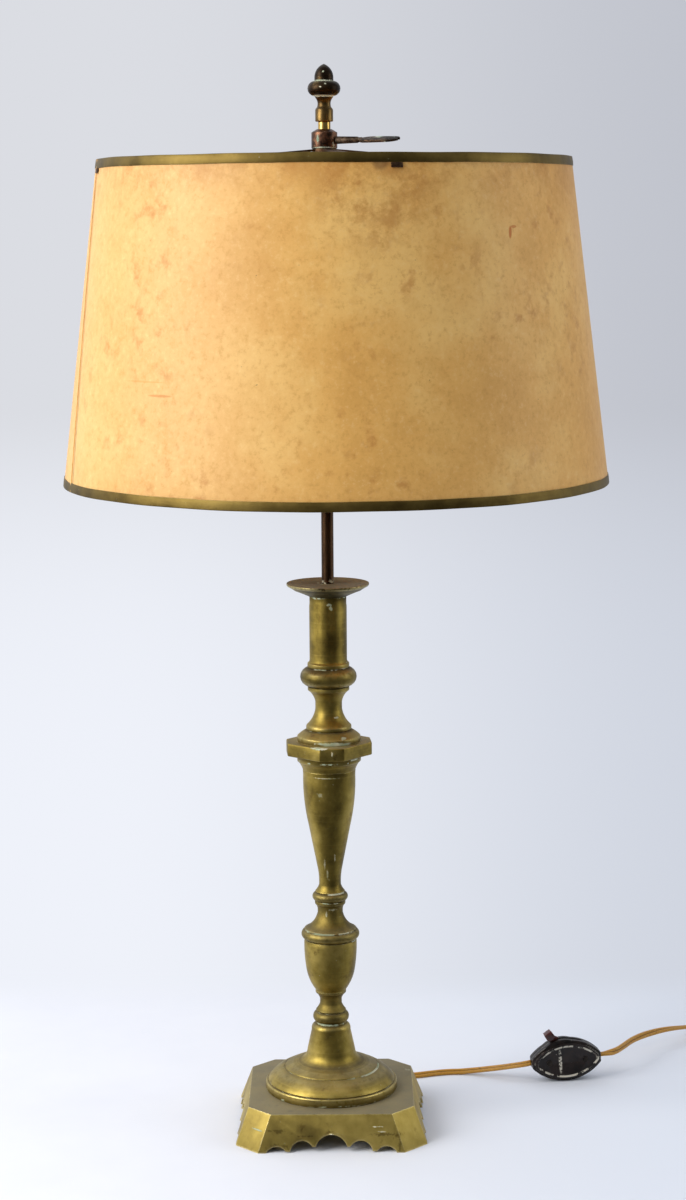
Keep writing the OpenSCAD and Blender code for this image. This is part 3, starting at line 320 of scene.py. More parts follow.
def ramp(value, *stops):
    """Colours, in steps of 0 to 255, from pairs of place and colour."""
    node = put(value, "ValToRGB", {0: value})
    for _ in stops[2:]:
        node.color_ramp.elements.new(0.5)
    for element, (place, colour) in zip(node.color_ramp.elements, stops):
        element.position = place
        element.color = rgb(*colour)
    return node.outputs[0]


def relief(shader, *layers):
    """Bump from pairs of pattern and height in metres, one over the other."""
    normal = None
    for pattern, height in layers:
        inputs = {"Height": pattern, "Distance": height, "Strength": 1}
        if normal:
            inputs["Normal"] = normal
        normal = put(shader, "Bump", inputs).outputs[0]
    feed(shader, {"Normal": normal})


def sharp_edges(shader, reach):
    """1 on and beside sharp edges, within reach metres."""
    soft = put(shader, "Bevel", {"Radius": reach}, samples=4).outputs[0]
    flat = put(shader, "NewGeometry").outputs["Normal"]
    alike = put(shader, "VectorMath", {0: soft, 1: flat}, operation="DOT_PRODUCT")
    return fade(alike.outputs["Value"], 0.985, 0.86)


def near(where, middle, size, ragged=0):
    """1 inside an egg-shaped patch about middle; both are in millimetres."""
    scale = [1 / (s * mm) for s in size]
    off = [-m / s for m, s in zip(middle, size)]
    far = put(where, "VectorMath", {0: moved(where, Scale=scale, Location=off)},
              operation="LENGTH").outputs["Value"]
    if ragged:
        torn = less(noise(where, 420, 5, 0.7), 0.5)
        far = plus(far, times(torn, ragged))
    return fade(far, 1, 0.55)


def marked(where, name):
    """What is stored on the piece under that name, such as its wear."""
    return put(where, "Attribute", attribute_name=name).outputs["Fac"]


def round_band(where, height, thick, start, end):
    """1 along part of a ring round the pipe; start and end are degrees, and
    -90 is the front."""
    parts = split(where)
    angle = maths("ARCTAN2", parts[1], parts[0])
    off = maths("ABSOLUTE", less(parts[2], height * mm))
    ends = times(fade(angle, math.radians(start), math.radians(start + 12)),
                 fade(angle, math.radians(end), math.radians(end - 12)))
    return times(fade(off, thick * mm, thick * mm * 0.4), ends)


def old_brass(name, light, middle, dark, marks=(3, 3, 600), gloss=0.36, crusts=(), worn=0.0012,
              stain=0.5, scratched=0.3, rubbed=0.35, dust=0.25, chips=(), stains=()):
    """Brass that has gone olive: clouded, dark in its hollows, rubbed bright on
    its edges, with chalky crust in the joints. crusts holds bands, as round_band
    takes them, and an amount; chips holds place, size and strength, and stains
    holds place and size, in millimetres."""
    material, shader, where = new_finish(name)
    hollow = marked(where, "hollow")
    cloud = noise(where, 34, 6, 0.62)
    grain = noise(where, 330, 4, 0.6)
    lines = noise(where, 1, 3, 0.5, stretch=marks)
    colour = ramp(cloud, (0.34, dark), (0.5, middle), (0.64, light))
    colour = blend(fade(noise(where, 95, 5, 0.7), 0.58, 0.76), colour, rgb(108, 86, 42))
    colour = over(colour, fade(lines, 0.5, 0.78), 0.35, light)
    deep = fade(plus(hollow, times(grain, 0.4)), 0.3, 1.0)
    colour = over(colour, deep, stain, (60, 50, 25))
    for place, size in stains:
        colour = over(colour, near(where, place, size, 5), 0.5, (66, 50, 26))
    rub = larger(marked(where, "edge"), times(marked(where, "corner"), 1.5))
    rub = larger(rub, sharp_edges(shader, worn))
    rub = times(rub, fade(grain, 0.32, 0.52))
    colour = over(colour, rub, rubbed, (240, 222, 160))
    facing = split(put(shader, "NewGeometry").outputs["Normal"])
    dusty = times(fade(facing[2], 0.6, 0.95), dust)
    colour = blend(dusty, colour, rgb(128, 122, 104))
    patch = noise(where, 120, 5, 0.65)
    joint = plus(hollow, less(noise(where, 42, 3), 0.5))
    crust = times(fade(joint, 0.86, 1), fade(patch, 0.53, 0.6))
    for height, thick, start, end, amount in crusts:
        band = round_band(where, height, thick, start, end)
        crust = larger(crust, times(band, fade(patch, 0.62 - amount, 0.7 - amount)))
    crust = larger(crust, times(fade(noise(where, 620, 2), 0.75, 0.79), 0.8))
    for place, size, strength in chips:
        crust = larger(crust, times(near(where, place, size, 3), strength))
    scratch = fade(noise(where, 1, 2, 0.5, stretch=(90, 90, 1500)), 0.74, 0.78)
    scratch = times(scratch, fade(noise(where, 50, 2), 0.5, 0.6))
    crust = larger(crust, times(scratch, scratched))
    chalk = blend(fade(noise(where, 60, 2), 0.4, 0.6), rgb(222, 220, 194), rgb(172, 182, 150))
    dull = plus(plus(gloss, times(cloud, 0.2)), times(deep, 0.15))
    dull = less(plus(dull, times(dusty, 0.3)), times(rub, 0.1))
    paint(shader, blend(crust, colour, chalk), larger(dull, times(crust, 0.85)),
          less(less(1, crust), times(dusty, 0.6)))
    relief(shader, (lines, 0.00004), (grain, 0.00006), (crust, 0.00015),
           (noise(where, 70, 3), 0.00025))
    return material


def pick(*pieces):
    """Selects these pieces and nothing else; the last one is active."""
    bpy.ops.object.select_all(action="DESELECT")
    for piece in pieces:
        piece.select_set(True)
        bpy.context.view_layer.objects.active = piece


def open_mesh():
    bpy.ops.object.mode_set(mode="EDIT")
    bpy.ops.mesh.select_all(action="SELECT")


def close_mesh():
    bpy.ops.object.mode_set(mode="OBJECT")


def own_copy(node, name):
    """A copy of a part with its triangles joined up, ready to be finished."""
    piece = nodes[node].copy()
    piece.data = nodes[node].data.copy()
    piece.name = name
    piece.parent = None
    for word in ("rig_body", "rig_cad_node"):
        if word in piece:
            del piece[word]
    bpy.context.scene.collection.objects.link(piece)
    pick(piece)
    open_mesh()
    bpy.ops.mesh.remove_doubles(threshold=0.000004)
    bpy.ops.mesh.dissolve_limited(angle_limit=math.radians(1))
    close_mesh()
    return piece


def round_edges(piece, width, segments=2, angle=32):
    """Breaks the sharp edges by width, in metres, and shades the rest smooth."""
    pick(piece)
    bevel = piece.modifiers.new("edges", "BEVEL")
    bevel.width = width
    bevel.segments = segments
    bevel.limit_method = "ANGLE"
    bevel.angle_limit = math.radians(angle)
    bpy.ops.object.modifier_apply(modifier="edges")
    bpy.ops.object.shade_smooth_by_angle(angle=math.radians(38))


def dress(piece, material, body, node):
    """Gives a finished piece its material, its body and the part it stands for."""
    piece.data.materials.clear()
    piece.data.materials.append(material)
    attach(piece, body)
    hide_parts(node)


def mark_corners(piece):
    """Stores which faces are the narrow ones of a rounded edge."""
    half_width = 0.0003
    narrow = []
    for face in piece.data.polygons:
        points = [piece.data.vertices[v].co for v in face.vertices]
        round_it = sum((a - b).length for a, b in zip(points, points[1:] + points[:1]))
        narrow.append(float(face.area < round_it * half_width))
    mark = piece.data.attributes.new("corner", "FLOAT", "FACE")
    mark.data.foreach_set("value", narrow)


plinth_brass = old_brass(
    "plinth_brass", (186, 164, 90), (168, 147, 76), (138, 119, 62),
    marks=(160, 160, 12), gloss=0.42, worn=0.002, scratched=0.9, rubbed=0.9, dust=0.75,
    chips=[((-57, -63, 15), (7, 6, 0.6), 1), ((36, -71, 18.5), (6, 5, 0.6), 0.8),
           ((40, -71, 15), (4, 5, 0.5), 0.6), ((0, -72, 12.5), (2, 6, 1.6), 0.9)],
    stains=[((-43, -72, 16), (9, 7, 1.6)), ((-40, -75, 4), (9, 7, 2)),
            ((40, -73, 13), (11, 7, 1.2)), ((53, -74, 6), (1.4, 7, 7)),
            ((-20, -74, 12), (7, 7, 0.8))])
plinth = own_copy("plinth", "base_casting")
round_edges(plinth, 0.0012, 3)
mark_corners(plinth)
dress(plinth, plinth_brass, "stand", "plinth")

# --- Turned stem ---
# Eleven brass parts, each turned on a lathe and threaded on the pipe like
# beads: dome, lower knop, urn and its ring, upper knop, baluster, platform,
# scotia, torus ring, candle tube and drip pan. Sizes are in millimetres.
bore = 4.8
pipe_r = 4.75
stem_around = 96
bow_steps = 8
knop_z = 81.7
urn_z = 108
rim_z = 150.4
upper_z = 158.4
baluster_z = 188.8
platform_z = 288.2
scotia_z = 320.2
torus_z = 354.5
tube_z = 369.9
pan_z = 426
pan_top = 436
tube_r = 14.65
block_foot = 12.4
block_h = 10.3
block_r = 34.5
step_foot = block_foot + block_h


def bow(p, q, rise):
    """Points between p and q on an arc that stands off to the right by rise."""
    p, q = Vector(p), Vector(q)
    along = (q - p).normalized()
    out = Vector((along.y, -along.x))
    half = 2 * math.atan(2 * rise / (q - p).length)
    radius = (q - p).length / (2 * math.sin(half))
    middle = (p + q) / 2 - out * radius * math.cos(half)
    turns = [half * (2 * i / bow_steps - 1) for i in range(1, bow_steps)]
    return [tuple(middle + radius * (out * math.cos(a) + along * math.sin(a))) for a in turns]


def path(*parts):
    """Strings points and bows together: a number between two points is the
    rise of a bow from one to the other."""
    line = []
    for i, part in enumerate(parts):
        if isinstance(part, (int, float)):
            line += bow(parts[i - 1], parts[i + 1], part)
        else:
            line.append(part)
    return line


# Each part's foot, and its outline of radius and height from there upwards
stem = {
    "stem_dome": (base_h, path(
        (52, 0), (52.5, 0.8), (52.5, 5.9), (51.9, 6.7), (50, 6.7), (50.6, 7.6), 1.3,
        (37.7, 17.4), (37, 17.2), (36.9, 18), 0.4, (27.3, 21.5), (26.8, 21.8), -2,
        (19, 31.8), (15.5, 48), 1, (12.9, 53.1), (11.9, 53.7), (11.8, 54))),
    "stem_lower_knop": (knop_z, path(
        (11.8, 0), (11.6, 0.7), (12.5, 1.1), 1.9, (12.4, 8.7), (11.3, 9.1), (12, 9.7),
        (11.9, 10.4), -0.3, (8.7, 15.6), (8.7, 19.6), -0.45, (12, 24.6), (12.2, 25.2),
        (12.2, 26.3))),
    "stem_urn": (urn_z, path(
        (12.2, 0), (12.2, 0.9), 1, (19.2, 17), 0.55, (20.9, 40.7), (20.5, 42.2),
        (20.5, 42.4))),
    "stem_urn_ring": (rim_z, path(
        (19.8, 0), (20.5, 0.5), 2.2, (21.2, 7.5), (20.1, 8))),
    "stem_upper_knop": (upper_z, path(
        (20.1, 0), (20.8, 0.5), -1.5, (10.9, 10.7), (10, 13.4), (10, 16.2), -0.4,
        (11.6, 20.4), (12.1, 20.9), (12.2, 22.9), (11.6, 23.3), (12.2, 23.7), 1.9,
        (12.2, 29.8), (11.2, 30.4))),
    "stem_baluster": (baluster_z, path(
        (11.4, 0), (11.8, 0.6), -0.4, (8.65, 6.2), (8.65, 10.4), -0.2, (9.8, 20),
        (16.5, 54.4), 1.3, (20.6, 95.4), (20.8, 98.6), (20.8, 99.4))),
    "stem_platform": (platform_z, path(
        (20.8, 0), -0.4, (24.4, 6.6), (25.1, 7), (25.1, 9.2), (27.1, block_foot + 0.3))),
    "stem_step": (platform_z + step_foot, path(
        (24.9, -0.3), (24.9, 4), (24.4, 4.5), 0.3, (17.8, 9.1), (17.4, 9.3))),
    "stem_scotia": (scotia_z, path(
        (17.2, 0), (17.8, 0.5), (17.8, 2.8), (17.4, 3.5), -1.3, (10.5, 16.6),
        (10.5, 22), -0.8, (15, 30.4), (16.3, 31.3), (16.3, 33.9), (15.9, 34.3))),
    "stem_torus": (torus_z, path(
        (15.5, 0), (15.9, 0.4), 6.2, (16.1, 15), (15.7, 15.4))),
    "stem_tube": (tube_z, path(
        (16.1, 0), (16.4, 0.3), (16.4, 2.9), (16.1, 3.3), -0.3, (tube_r, 5.6),
        (tube_r, 48.1), (14.4, 50.1), (14.4, 56.1))),
    "stem_pan": (pan_z, path(
        (15.3, 0), -0.15, (26.2, 4.7), -0.1, (31.5, 7.9), (32.2, 8.7), (32.2, 10),
        (31.6, 10.2), (30.6, 9.7))),
}


def turn_up(name, line, around=stem_around, middle=(0, 0)):
    """Turns a closed outline of radius and height, in millimetres, about a
    standing axis through middle."""
    pick()
    start = (middle[0] + line[0][0] * mm, middle[1], line[0][1] * mm)
    bpy.ops.mesh.primitive_plane_add(size=0.002, location=start)
    piece = bpy.context.object
    piece.name = name
    open_mesh()
    bpy.ops.mesh.merge(type="CENTER")
    for (r0, z0), (r1, z1) in zip(line, line[1:] + line[:1]):
        bpy.ops.mesh.extrude_region_move(
            TRANSFORM_OT_translate={"value": ((r1 - r0) * mm, 0, (z1 - z0) * mm)})
    bpy.ops.mesh.select_all(action="SELECT")
    bpy.ops.mesh.spin(steps=around, angle=math.tau, center=(*middle, 0), axis=(0, 0, 1))
    bpy.ops.mesh.select_all(action="SELECT")
    bpy.ops.mesh.remove_doubles(threshold=0.00002)
    bpy.ops.mesh.normals_make_consistent(inside=False)
    close_mesh()
    bpy.ops.object.transform_apply()
    return piece


# The stem's outline as one list: its radius at every quarter of a millimetre.
# The plinth, the pipe above the pan and the platform's square block fill it up.
profile_step = 0.25
plinth_reach = 66
block_reach = 31
outline_h = 450
outer_r = [0.0] * int(outline_h / profile_step)


def steps_up(low, high):
    return range(int(low / profile_step), int(high / profile_step))


for k in steps_up(0, base_h):
    outer_r[k] = plinth_reach
for k in steps_up(pan_top, outline_h):
    outer_r[k] = pipe_r
for z0, line in stem.values():
    for (r0, h0), (r1, h1) in zip(line, line[1:]):
        low, high = sorted((z0 + h0, z0 + h1))
        for k in range(math.ceil(low / profile_step), int(high / profile_step) + 1):
            share = (k * profile_step - z0 - h0) / (h1 - h0) if h1 != h0 else 0
            outer_r[k] = max(outer_r[k], r0 + (r1 - r0) * share)
for k in steps_up(platform_z + block_foot, platform_z + step_foot):
    outer_r[k] = block_reach


def mark_wear(piece):
    """Stores how far each point lies in a hollow or on an edge of the stem,
    from the outline within 2.5 mm above and below it. The square block, which
    reaches out from block_in, stays plain."""
    block_in = 28.5
    beside = (-10, -7, -4, -2, 2, 4, 7, 10)
    hollows, edges = [], []
    for vertex in piece.data.vertices:
        x, y, z = vertex.co / mm
        reach = math.hypot(x, y)
        k = round(z / profile_step)
        around = [outer_r[min(max(k + d, 0), len(outer_r) - 1)] for d in beside]
        dip = sum(min(a, reach + 5) for a in around) / len(beside) - reach
        if reach > block_in and platform_z < z < platform_z + 40:
            dip = 0
        hollows.append(min(max(dip / 1.1, 0), 1))
        edges.append(min(max(-dip / 0.9 - 0.25, 0), 1))
    for name, values in (("hollow", hollows), ("edge", edges)):
        mark = piece.data.attributes.new(name, "FLOAT", "POINT")
        mark.data.foreach_set("value", values)


def push_in(piece, middle, size, depth):
    """A dent: moves the points near middle towards the axis."""
    for vertex in piece.data.vertices:
        away = (vertex.co - Vector(middle) * mm).length / (size * mm)
        if away < 1:
            inward = Vector((vertex.co.x, vertex.co.y, 0)).normalized()
            vertex.co -= inward * depth * mm * (1 - away * away) ** 2


# Crust at the joints: height, thickness, from and to in degrees, and amount
joint_crusts = [(188.9, 0.75, -104, -12, 0.3), (158.6, 0.7, -170, -20, 0.2),
                (150.3, 0.6, -66, -8, 0.14), (45.3, 0.5, -70, 15, 0.16),
                (81.8, 0.6, -175, -5, 0.14), (311.9, 1.2, -106, -44, 0.42),
                (296.6, 0.8, -170, -12, 0.06), (369.9, 0.6, -75, -20, 0.16),
                (91, 0.5, -170, -20, 0.06), (181.5, 0.6, -150, -50, 0.08),
                (374, 0.5, -60, -10, 0.1)]
stem_brass = old_brass(
    "stem_brass", (182, 160, 86), (151, 131, 62), (110, 94, 44),
    crusts=joint_crusts,
    chips=[((-9, -31, 311), (9, 6, 1.4), 1), ((2, -24.8, 312.8), (15, 4, 1.2), 1),
           ((2.4, -34, 306.5), (0.9, 4, 2), 0.6), ((20, -16, 298.6), (4, 6, 1), 0.8),
           ((0.8, -14.6, 420.6), (3, 4, 1.1), 0.75), ((2.2, -14.6, 418.4), (1.4, 4, 2.8), 0.75),
           ((6.5, -13, 331), (2.4, 5, 0.9), 0.6), ((11.5, -20, 316.5), (2.4, 5, 1.1), 0.7),
           ((-4, -20, 284.5), (12, 5, 0.5), 0.5), ((-7, -18, 271), (2.4, 5, 2.2), 0.4),
           ((4, -11, 218), (0.7, 4, 4), 0.4), ((-4, -10, 213), (0.7, 4, 4), 0.35),
           ((-2, -9, 205), (0.8, 4, 4), 0.4)])
knop_brass = old_brass(
    "knop_brass", (150, 130, 68), (116, 101, 50), (82, 70, 34), gloss=0.42,
    crusts=joint_crusts,
    chips=[((2, -10, 176), (3.4, 4, 1), 0.45), ((-3, -10, 173), (0.8, 4, 3), 0.4)])
torus_brass = old_brass("torus_brass", (152, 132, 66), (114, 99, 46), (80, 68, 31),
                        crusts=[(354.8, 0.6, -130, -20, 0.08)])
pan_brass = old_brass("pan_brass", (128, 116, 76), (102, 92, 58), (74, 67, 42),
                      gloss=0.42, worn=0.0004, dust=0.7)
for name, (z0, line) in stem.items():
    closed = [(bore, line[0][1])] + line + [(bore, line[-1][1])]
    piece = turn_up(name, [(r, z0 + h) for r, h in closed],
                    144 if name == "stem_dome" else stem_around)
    round_edges(piece, 0.0002, 2, 30)
    stem[name] = piece
# The square block of the platform, with its corners cut, between cove and step
block_z = platform_z + block_foot + block_h / 2
cut_half = 29
block_turn = 4
pick()
bpy.ops.mesh.primitive_cylinder_add(vertices=8, radius=block_r * mm, depth=block_h * mm,
                                    location=(0, 0, block_z * mm))
block = bpy.context.object
block.name = "platform_block"
bpy.ops.object.transform_apply()
corners = [45 + 90 * k + e * cut_half + block_turn for k in range(4) for e in (-1, 1)]
for vertex in block.data.vertices:
    turn = math.degrees(math.atan2(vertex.co.y, vertex.co.x)) % 360
    nearest = round(turn / 45) % 8
    corner = math.radians(sorted(c % 360 for c in corners)[nearest])
    vertex.co.x = block_r * mm * math.cos(corner)
    vertex.co.y = block_r * mm * math.sin(corner)
round_edges(block, 0.001, 4)
pick(stem.pop("stem_step"), block, stem["stem_platform"])
bpy.ops.object.join()
for middle, size, depth in (((-8.5, -11.9, 415), 5, 0.8), ((-6, -13.4, 408.5), 3, 0.4),
                            ((2.5, -14.4, 420), 4, 0.8)):
    push_in(stem["stem_tube"], middle, size, depth)
stands_for = {"stem_dome": "base_dome", "stem_urn_ring": "urn_rim",
              "stem_torus": "torus_ring", "stem_tube": "candle_tube", "stem_pan": "drip_pan"}
other_brass = {"stem_lower_knop": knop_brass, "stem_urn_ring": knop_brass,
               "stem_upper_knop": knop_brass, "stem_torus": torus_brass,
               "stem_pan": pan_brass}
for name, piece in stem.items():
    mark_wear(piece)
    dress(piece, other_brass.get(name, stem_brass), "stand",
          stands_for.get(name, name.removeprefix("stem_")))

# --- Pipe ---
# Iron lamp pipe that carries everything: bronzed brown-black and dull up to the
# shade's collar, brass-plated above it and rubbed bright where the collar slides.
pipe_foot = 20.2
pipe_top = 797
collar_z = 769.2
pipe_hole = 3.15
pipe_bronze, shader, where = new_finish("pipe_bronze")
height = split(where)[2]
cloud = noise(where, 90, 5, 0.65, stretch=(1, 1, 0.25))
grain = noise(where, 480, 3)
brown = ramp(cloud, (0.35, (52, 38, 28)), (0.55, (84, 62, 42)), (0.7, (122, 92, 60)))
bright = ramp(cloud, (0.3, (158, 124, 62)), (0.6, (196, 162, 88)))
bare = fade(height, (collar_z + 8) * mm, (collar_z + 12) * mm)
crusty = times(fade(noise(where, 260, 3), 0.5, 0.6),
               fade(height, (pan_top + 5) * mm, (pan_top + 0.5) * mm))
gloss = put(where, "MapRange", {"Value": less(bare, crusty), "To Min": 0.42, "To Max": 0.14})
paint(shader, blend(crusty, blend(bare, brown, bright), rgb(206, 204, 176)),
      gloss.outputs[0], less(1, crusty))
relief(shader, (grain, 0.00005), (noise(where, 60, 3), 0.0001))
pipe = turn_up("pipe", [(pipe_hole, pipe_foot), (pipe_r, pipe_foot), (pipe_r, pipe_top),
                        (pipe_hole, pipe_top)], 48)
round_edges(pipe, 0.0003)
dress(pipe, pipe_bronze, "stand", "lamp_pipe")

# --- Collar, nut and key ---
# Reddish brass, browned, with verdigris: a turned collar slides on the pipe and
# carries the shade's hub over a flat nut. The key screws into its side and
# clamps it at any height.
neck_r = 7.6
neck_foot = 761.7
collar_r = 9.85
collar_top = 783.6
key_turn = -25
key_z = 775.2
shank_r = 2.9
shank_start = 9.95
shank_end = 29
plate_l = 32
plate_w = 17
plate_t = 2.2
plate_taper = 0.75
rim_w = 0.9
rim_share = 0.55
notch_half = 1.6
notch_deep = 1.4
notch_from = 1.2
plate_lean = 11
plate_mid = shank_end + 1 + plate_l / 2


def browned_copper(name, light, middle, dark, green, crust_and_highlights, shaded_from=1000, gloss=0.26):
    """Copper-brown metal with green and white crust. Its pale patches, given in millimetres, are
    more crust and painted highlights; from the given x on, its far end is painted dark, which is
    painted shade."""
    material, shader, where = new_finish(name)
    cloud = noise(where, 150, 5, 0.65)
    grain = noise(where, 700, 4, 0.6)
    lines = noise(where, 1, 3, 0.5, stretch=(60, 60, 1500))
    colour = ramp(cloud, (0.36, dark), (0.5, middle), (0.62, light))
    rub = times(sharp_edges(shader, 0.0007), fade(grain, 0.4, 0.55))
    colour = over(colour, rub, 0.6, (216, 170, 130))
    # Painted shade: the far end is painted dark.
    shaded_end = fade(split(where)[0], shaded_from * mm, (shaded_from + 3) * mm)
    colour = over(colour, shaded_end, 0.8, (30, 26, 20))
    patch = noise(where, 230, 4, 0.6)
    crust = fade(patch, 0.78 - green * 0.16, 0.84 - green * 0.16)
    # Pale patches: more crust, and painted highlights.
    for place, size in crust_and_highlights:
        crust = larger(crust, near(where, place, size, 3))
    crust = larger(crust, times(fade(noise(where, 900, 2), 0.7, 0.74), green))
    chalk = ramp(noise(where, 120, 2), (0.35, (120, 148, 122)), (0.6, (206, 208, 186)))
    paint(shader, blend(crust, colour, chalk),
          larger(plus(gloss, times(cloud, 0.25)), times(crust, 0.85)), less(1, crust))
    relief(shader, (lines, 0.00003), (grain, 0.00008), (crust, 0.0001))
    return material


def rework(node, name, width, material, body):
    """A part's copy with its edges rounded by width, dressed to stand for it."""
    piece = own_copy(node, name)
    round_edges(piece, width)
    dress(piece, material, body, node)


# Of the collar's pale patches, the thin upright one at the front is a painted highlight; the
# others are crust.
collar_copper = browned_copper(
    "collar_copper", (134, 96, 72), (88, 64, 50), (48, 36, 30), 0.6,
    [((0, -8, 769.6), (13, 8, 0.7)), ((-5, -9, 776), (0.9, 3, 3)), ((7, -8, 772), (1.2, 3, 3))])
# The key's pale stripe across its plate is a painted highlight, and its far end from 44 mm on is
# painted shade.
key_copper = browned_copper(
    "key_copper", (112, 96, 80), (78, 64, 52), (44, 36, 30), 0.8,
    [((41, 0, 777.6), (4, 40, 1.2))], 44, 0.5)
collar = turn_up("collar", [
    (bore, neck_foot), (neck_r, neck_foot), (neck_r, collar_z), (9.55, collar_z),
    (collar_r, 769.6), (collar_r, 781.2), (5.65, collar_top), (bore, collar_top)], 64)
round_edges(collar, 0.0004, 3)
dress(collar, collar_copper, "collar", "collar")
rework("collar_nut", "collar_nut_piece", 0.0004, collar_copper, "collar")

shank = turn_up("key_piece", [
    (0, 5.1), (1.85, 5.1), (2.35, 5.7), (2.35, shank_start), (2.7, shank_start),
    (shank_r, 10.5), (2.4, 27.6), (1.8, shank_end), (1.9, shank_end + 2.4),
    (0, shank_end + 2.4)], 32)
open_mesh()
bpy.ops.transform.rotate(value=math.radians(-90), orient_axis="Y", center_override=(0, 0, 0))
close_mesh()
pick()
bpy.ops.mesh.primitive_cylinder_add(vertices=64, radius=plate_w / 2 * mm, depth=0.004,
                                    location=(plate_mid * mm, 0, 0))
plate = bpy.context.object
open_mesh()
bpy.ops.mesh.inset(thickness=0.0016, depth=0)
close_mesh()
bpy.ops.object.transform_apply()
half_round = plate_w / 2
longer = (plate_l - plate_w) / 2
for vertex in plate.data.vertices:
    x = vertex.co.x / mm - plate_mid
    y = vertex.co.y / mm
    pulled = x + math.copysign(longer, x) * min(abs(x) / half_round * 3, 1)
    along = (plate_mid + pulled - shank_end) / plate_l
    thick = plate_t - plate_taper * along
    if math.hypot(x, y) > half_round - rim_w:
        thick *= rim_share
    if abs(y) < notch_half and x > half_round - notch_from:
        pulled -= notch_deep
    vertex.co.x = (plate_mid + pulled) * mm
    vertex.co.z = math.copysign(thick * mm, vertex.co.z)
plate.data.transform(Matrix.Rotation(math.radians(plate_lean), 4, "X"))
pick(plate, shank)
bpy.ops.object.join()
key = bpy.context.object
round_edges(key, 0.0003)
key.data.transform(Matrix.Translation((0, 0, key_z * mm))
                   @ Matrix.Rotation(math.radians(key_turn), 4, "Z"))
dress(key, key_copper, "key", "key")

# --- Shade frame ---
# A brown iron hub with four flat arms, each folded down outside the shade as a
# tab, and a steel wire ring inside each rim.
shade_top = 761.8
shade_top_r = 179.7
shade_bottom = 515.4
shade_slope = 0.121753
trim_t = 0.5
head_z = shade_top - trim_t
foot_z = shade_bottom + trim_t
rims = (("top", head_z, 1), ("bottom", foot_z, -1))
# The shade hangs a little off the pipe's axis: here in metres
shade_x = 0.0073
wire_r = 1.2
wire_in = 1.35


def shade_r(height):
    return shade_top_r + (shade_top - height) * shade_slope


def dark_iron(name, light, dark, gloss=0.42):
    """Dark metal with rust-brown clouds and rubbed edges."""
    material, shader, where = new_finish(name)
    cloud = noise(where, 160, 6, 0.65)
    grain = noise(where, 800, 3)
    colour = ramp(cloud, (0.36, dark), (0.64, light))
    rub = times(sharp_edges(shader, 0.0005), fade(grain, 0.4, 0.6))
    bright = [min(c * 2.2, 1) for c in rgb(*light)[:3]] + [1]
    paint(shader, blend(rub, colour, bright), plus(gloss, times(cloud, 0.25)), 0.9)
    relief(shader, (grain, 0.00006), (cloud, 0.0002))
    return material


spider_iron = dark_iron("spider_iron", (106, 78, 54), (50, 36, 26))
steel = dark_iron("steel", (150, 146, 138), (92, 88, 80), gloss=0.32)
rework("spider_arms", "spider_piece", 0.00025, spider_iron, "shade")
rework("spider_hub", "hub_piece", 0.0003, spider_iron, "shade")
for rim, edge, way in rims:
    middle = edge - way * wire_in
    pick()
    bpy.ops.mesh.primitive_torus_add(
        major_segments=160, minor_segments=12, major_radius=(shade_r(middle) - 2) * mm,
        minor_radius=wire_r * mm, location=(shade_x, 0, middle * mm))
    wire = bpy.context.object
    wire.name = rim + "_wire_piece"
    bpy.ops.object.transform_apply()
    bpy.ops.object.shade_smooth()
    dress(wire, steel, "shade", rim + "_wire")

# --- Parchment ---
# One sheet of oiled parchment paper rolled into a cone, tan and mottled with
# age, its ends lapped and glued to the left of the front. Light comes through.
sheet_t = 0.7
lap_turn = -170
lap_lean = 7
lap_wide = 4
lap_lift = 0.3
# The dark line along the lap: it leans by seam_lean degrees a metre, and seam_turn
# is where it stands at the height seam_z, in metres
seam_lean = 28.5
seam_turn = 160.1
seam_z = 0.516
parchment, shader, where = new_finish("parchment")
parts = split(where)
fibre = noise(where, 46, 10, 0.75)
blotch = noise(where, 10, 4, 0.6)
fine = noise(where, 210, 6, 0.75)
colour = ramp(blotch, (0.34, (229, 173, 86)), (0.5, (240, 186, 98)), (0.64, (249, 203, 117)))
# Painted sheen: the left side, where the big light falls, is painted paler.
colour = over(colour, fade(parts[0], 0.02, -0.13), 0.7, (230, 184, 118))
colour = over(colour, fade(fibre, 0.44, 0.66), 0.3, (218, 160, 74))
colour = over(colour, fade(fine, 0.5, 0.68), 0.45, (206, 146, 66))
colour = over(colour, fade(fine, 0.48, 0.3), 0.4, (252, 216, 144))
spots = times(fade(noise(where, 78, 4, 0.6), 0.52, 0.74), fade(noise(where, 13, 2), 0.4, 0.6))
colour = over(colour, spots, 0.6, (196, 126, 52))
colour = over(colour, fade(noise(where, 290, 2), 0.76, 0.8), 0.6, (134, 88, 42))
soil = larger(fade(parts[2], 0.725, 0.763), near(where, (35, -175, 745), (55, 100, 60)))
colour = over(colour, times(soil, fade(fibre, 0.36, 0.6)), 0.5, (186, 120, 48))
for place, size, strength, tint in (
        ((132, -140, 706), (1.4, 30, 5.5), 0.9, (204, 112, 20)),
        ((134.5, -140, 710), (2.8, 30, 1.4), 0.7, (204, 112, 20)),
        ((-117, -157, 593), (11, 40, 1.2), 0.55, (206, 122, 40)),
        ((-129, -150, 602.5), (20, 40, 0.9), 0.4, (220, 146, 56)),
        ((40, -187, 756), (8, 30, 9), 0.6, (110, 70, 38))):
    colour = over(colour, near(where, place, size), strength, tint)
turn = maths("ARCTAN2", parts[1], less(parts[0], shade_x))
seam = plus(times(parts[2], math.radians(seam_lean)),
            math.radians(seam_turn - seam_lean * seam_z))
seam = maths("ABSOLUTE", plus(turn, seam))
colour = over(colour, fade(seam, 0.0062, 0.0028), 0.85, (104, 66, 32))
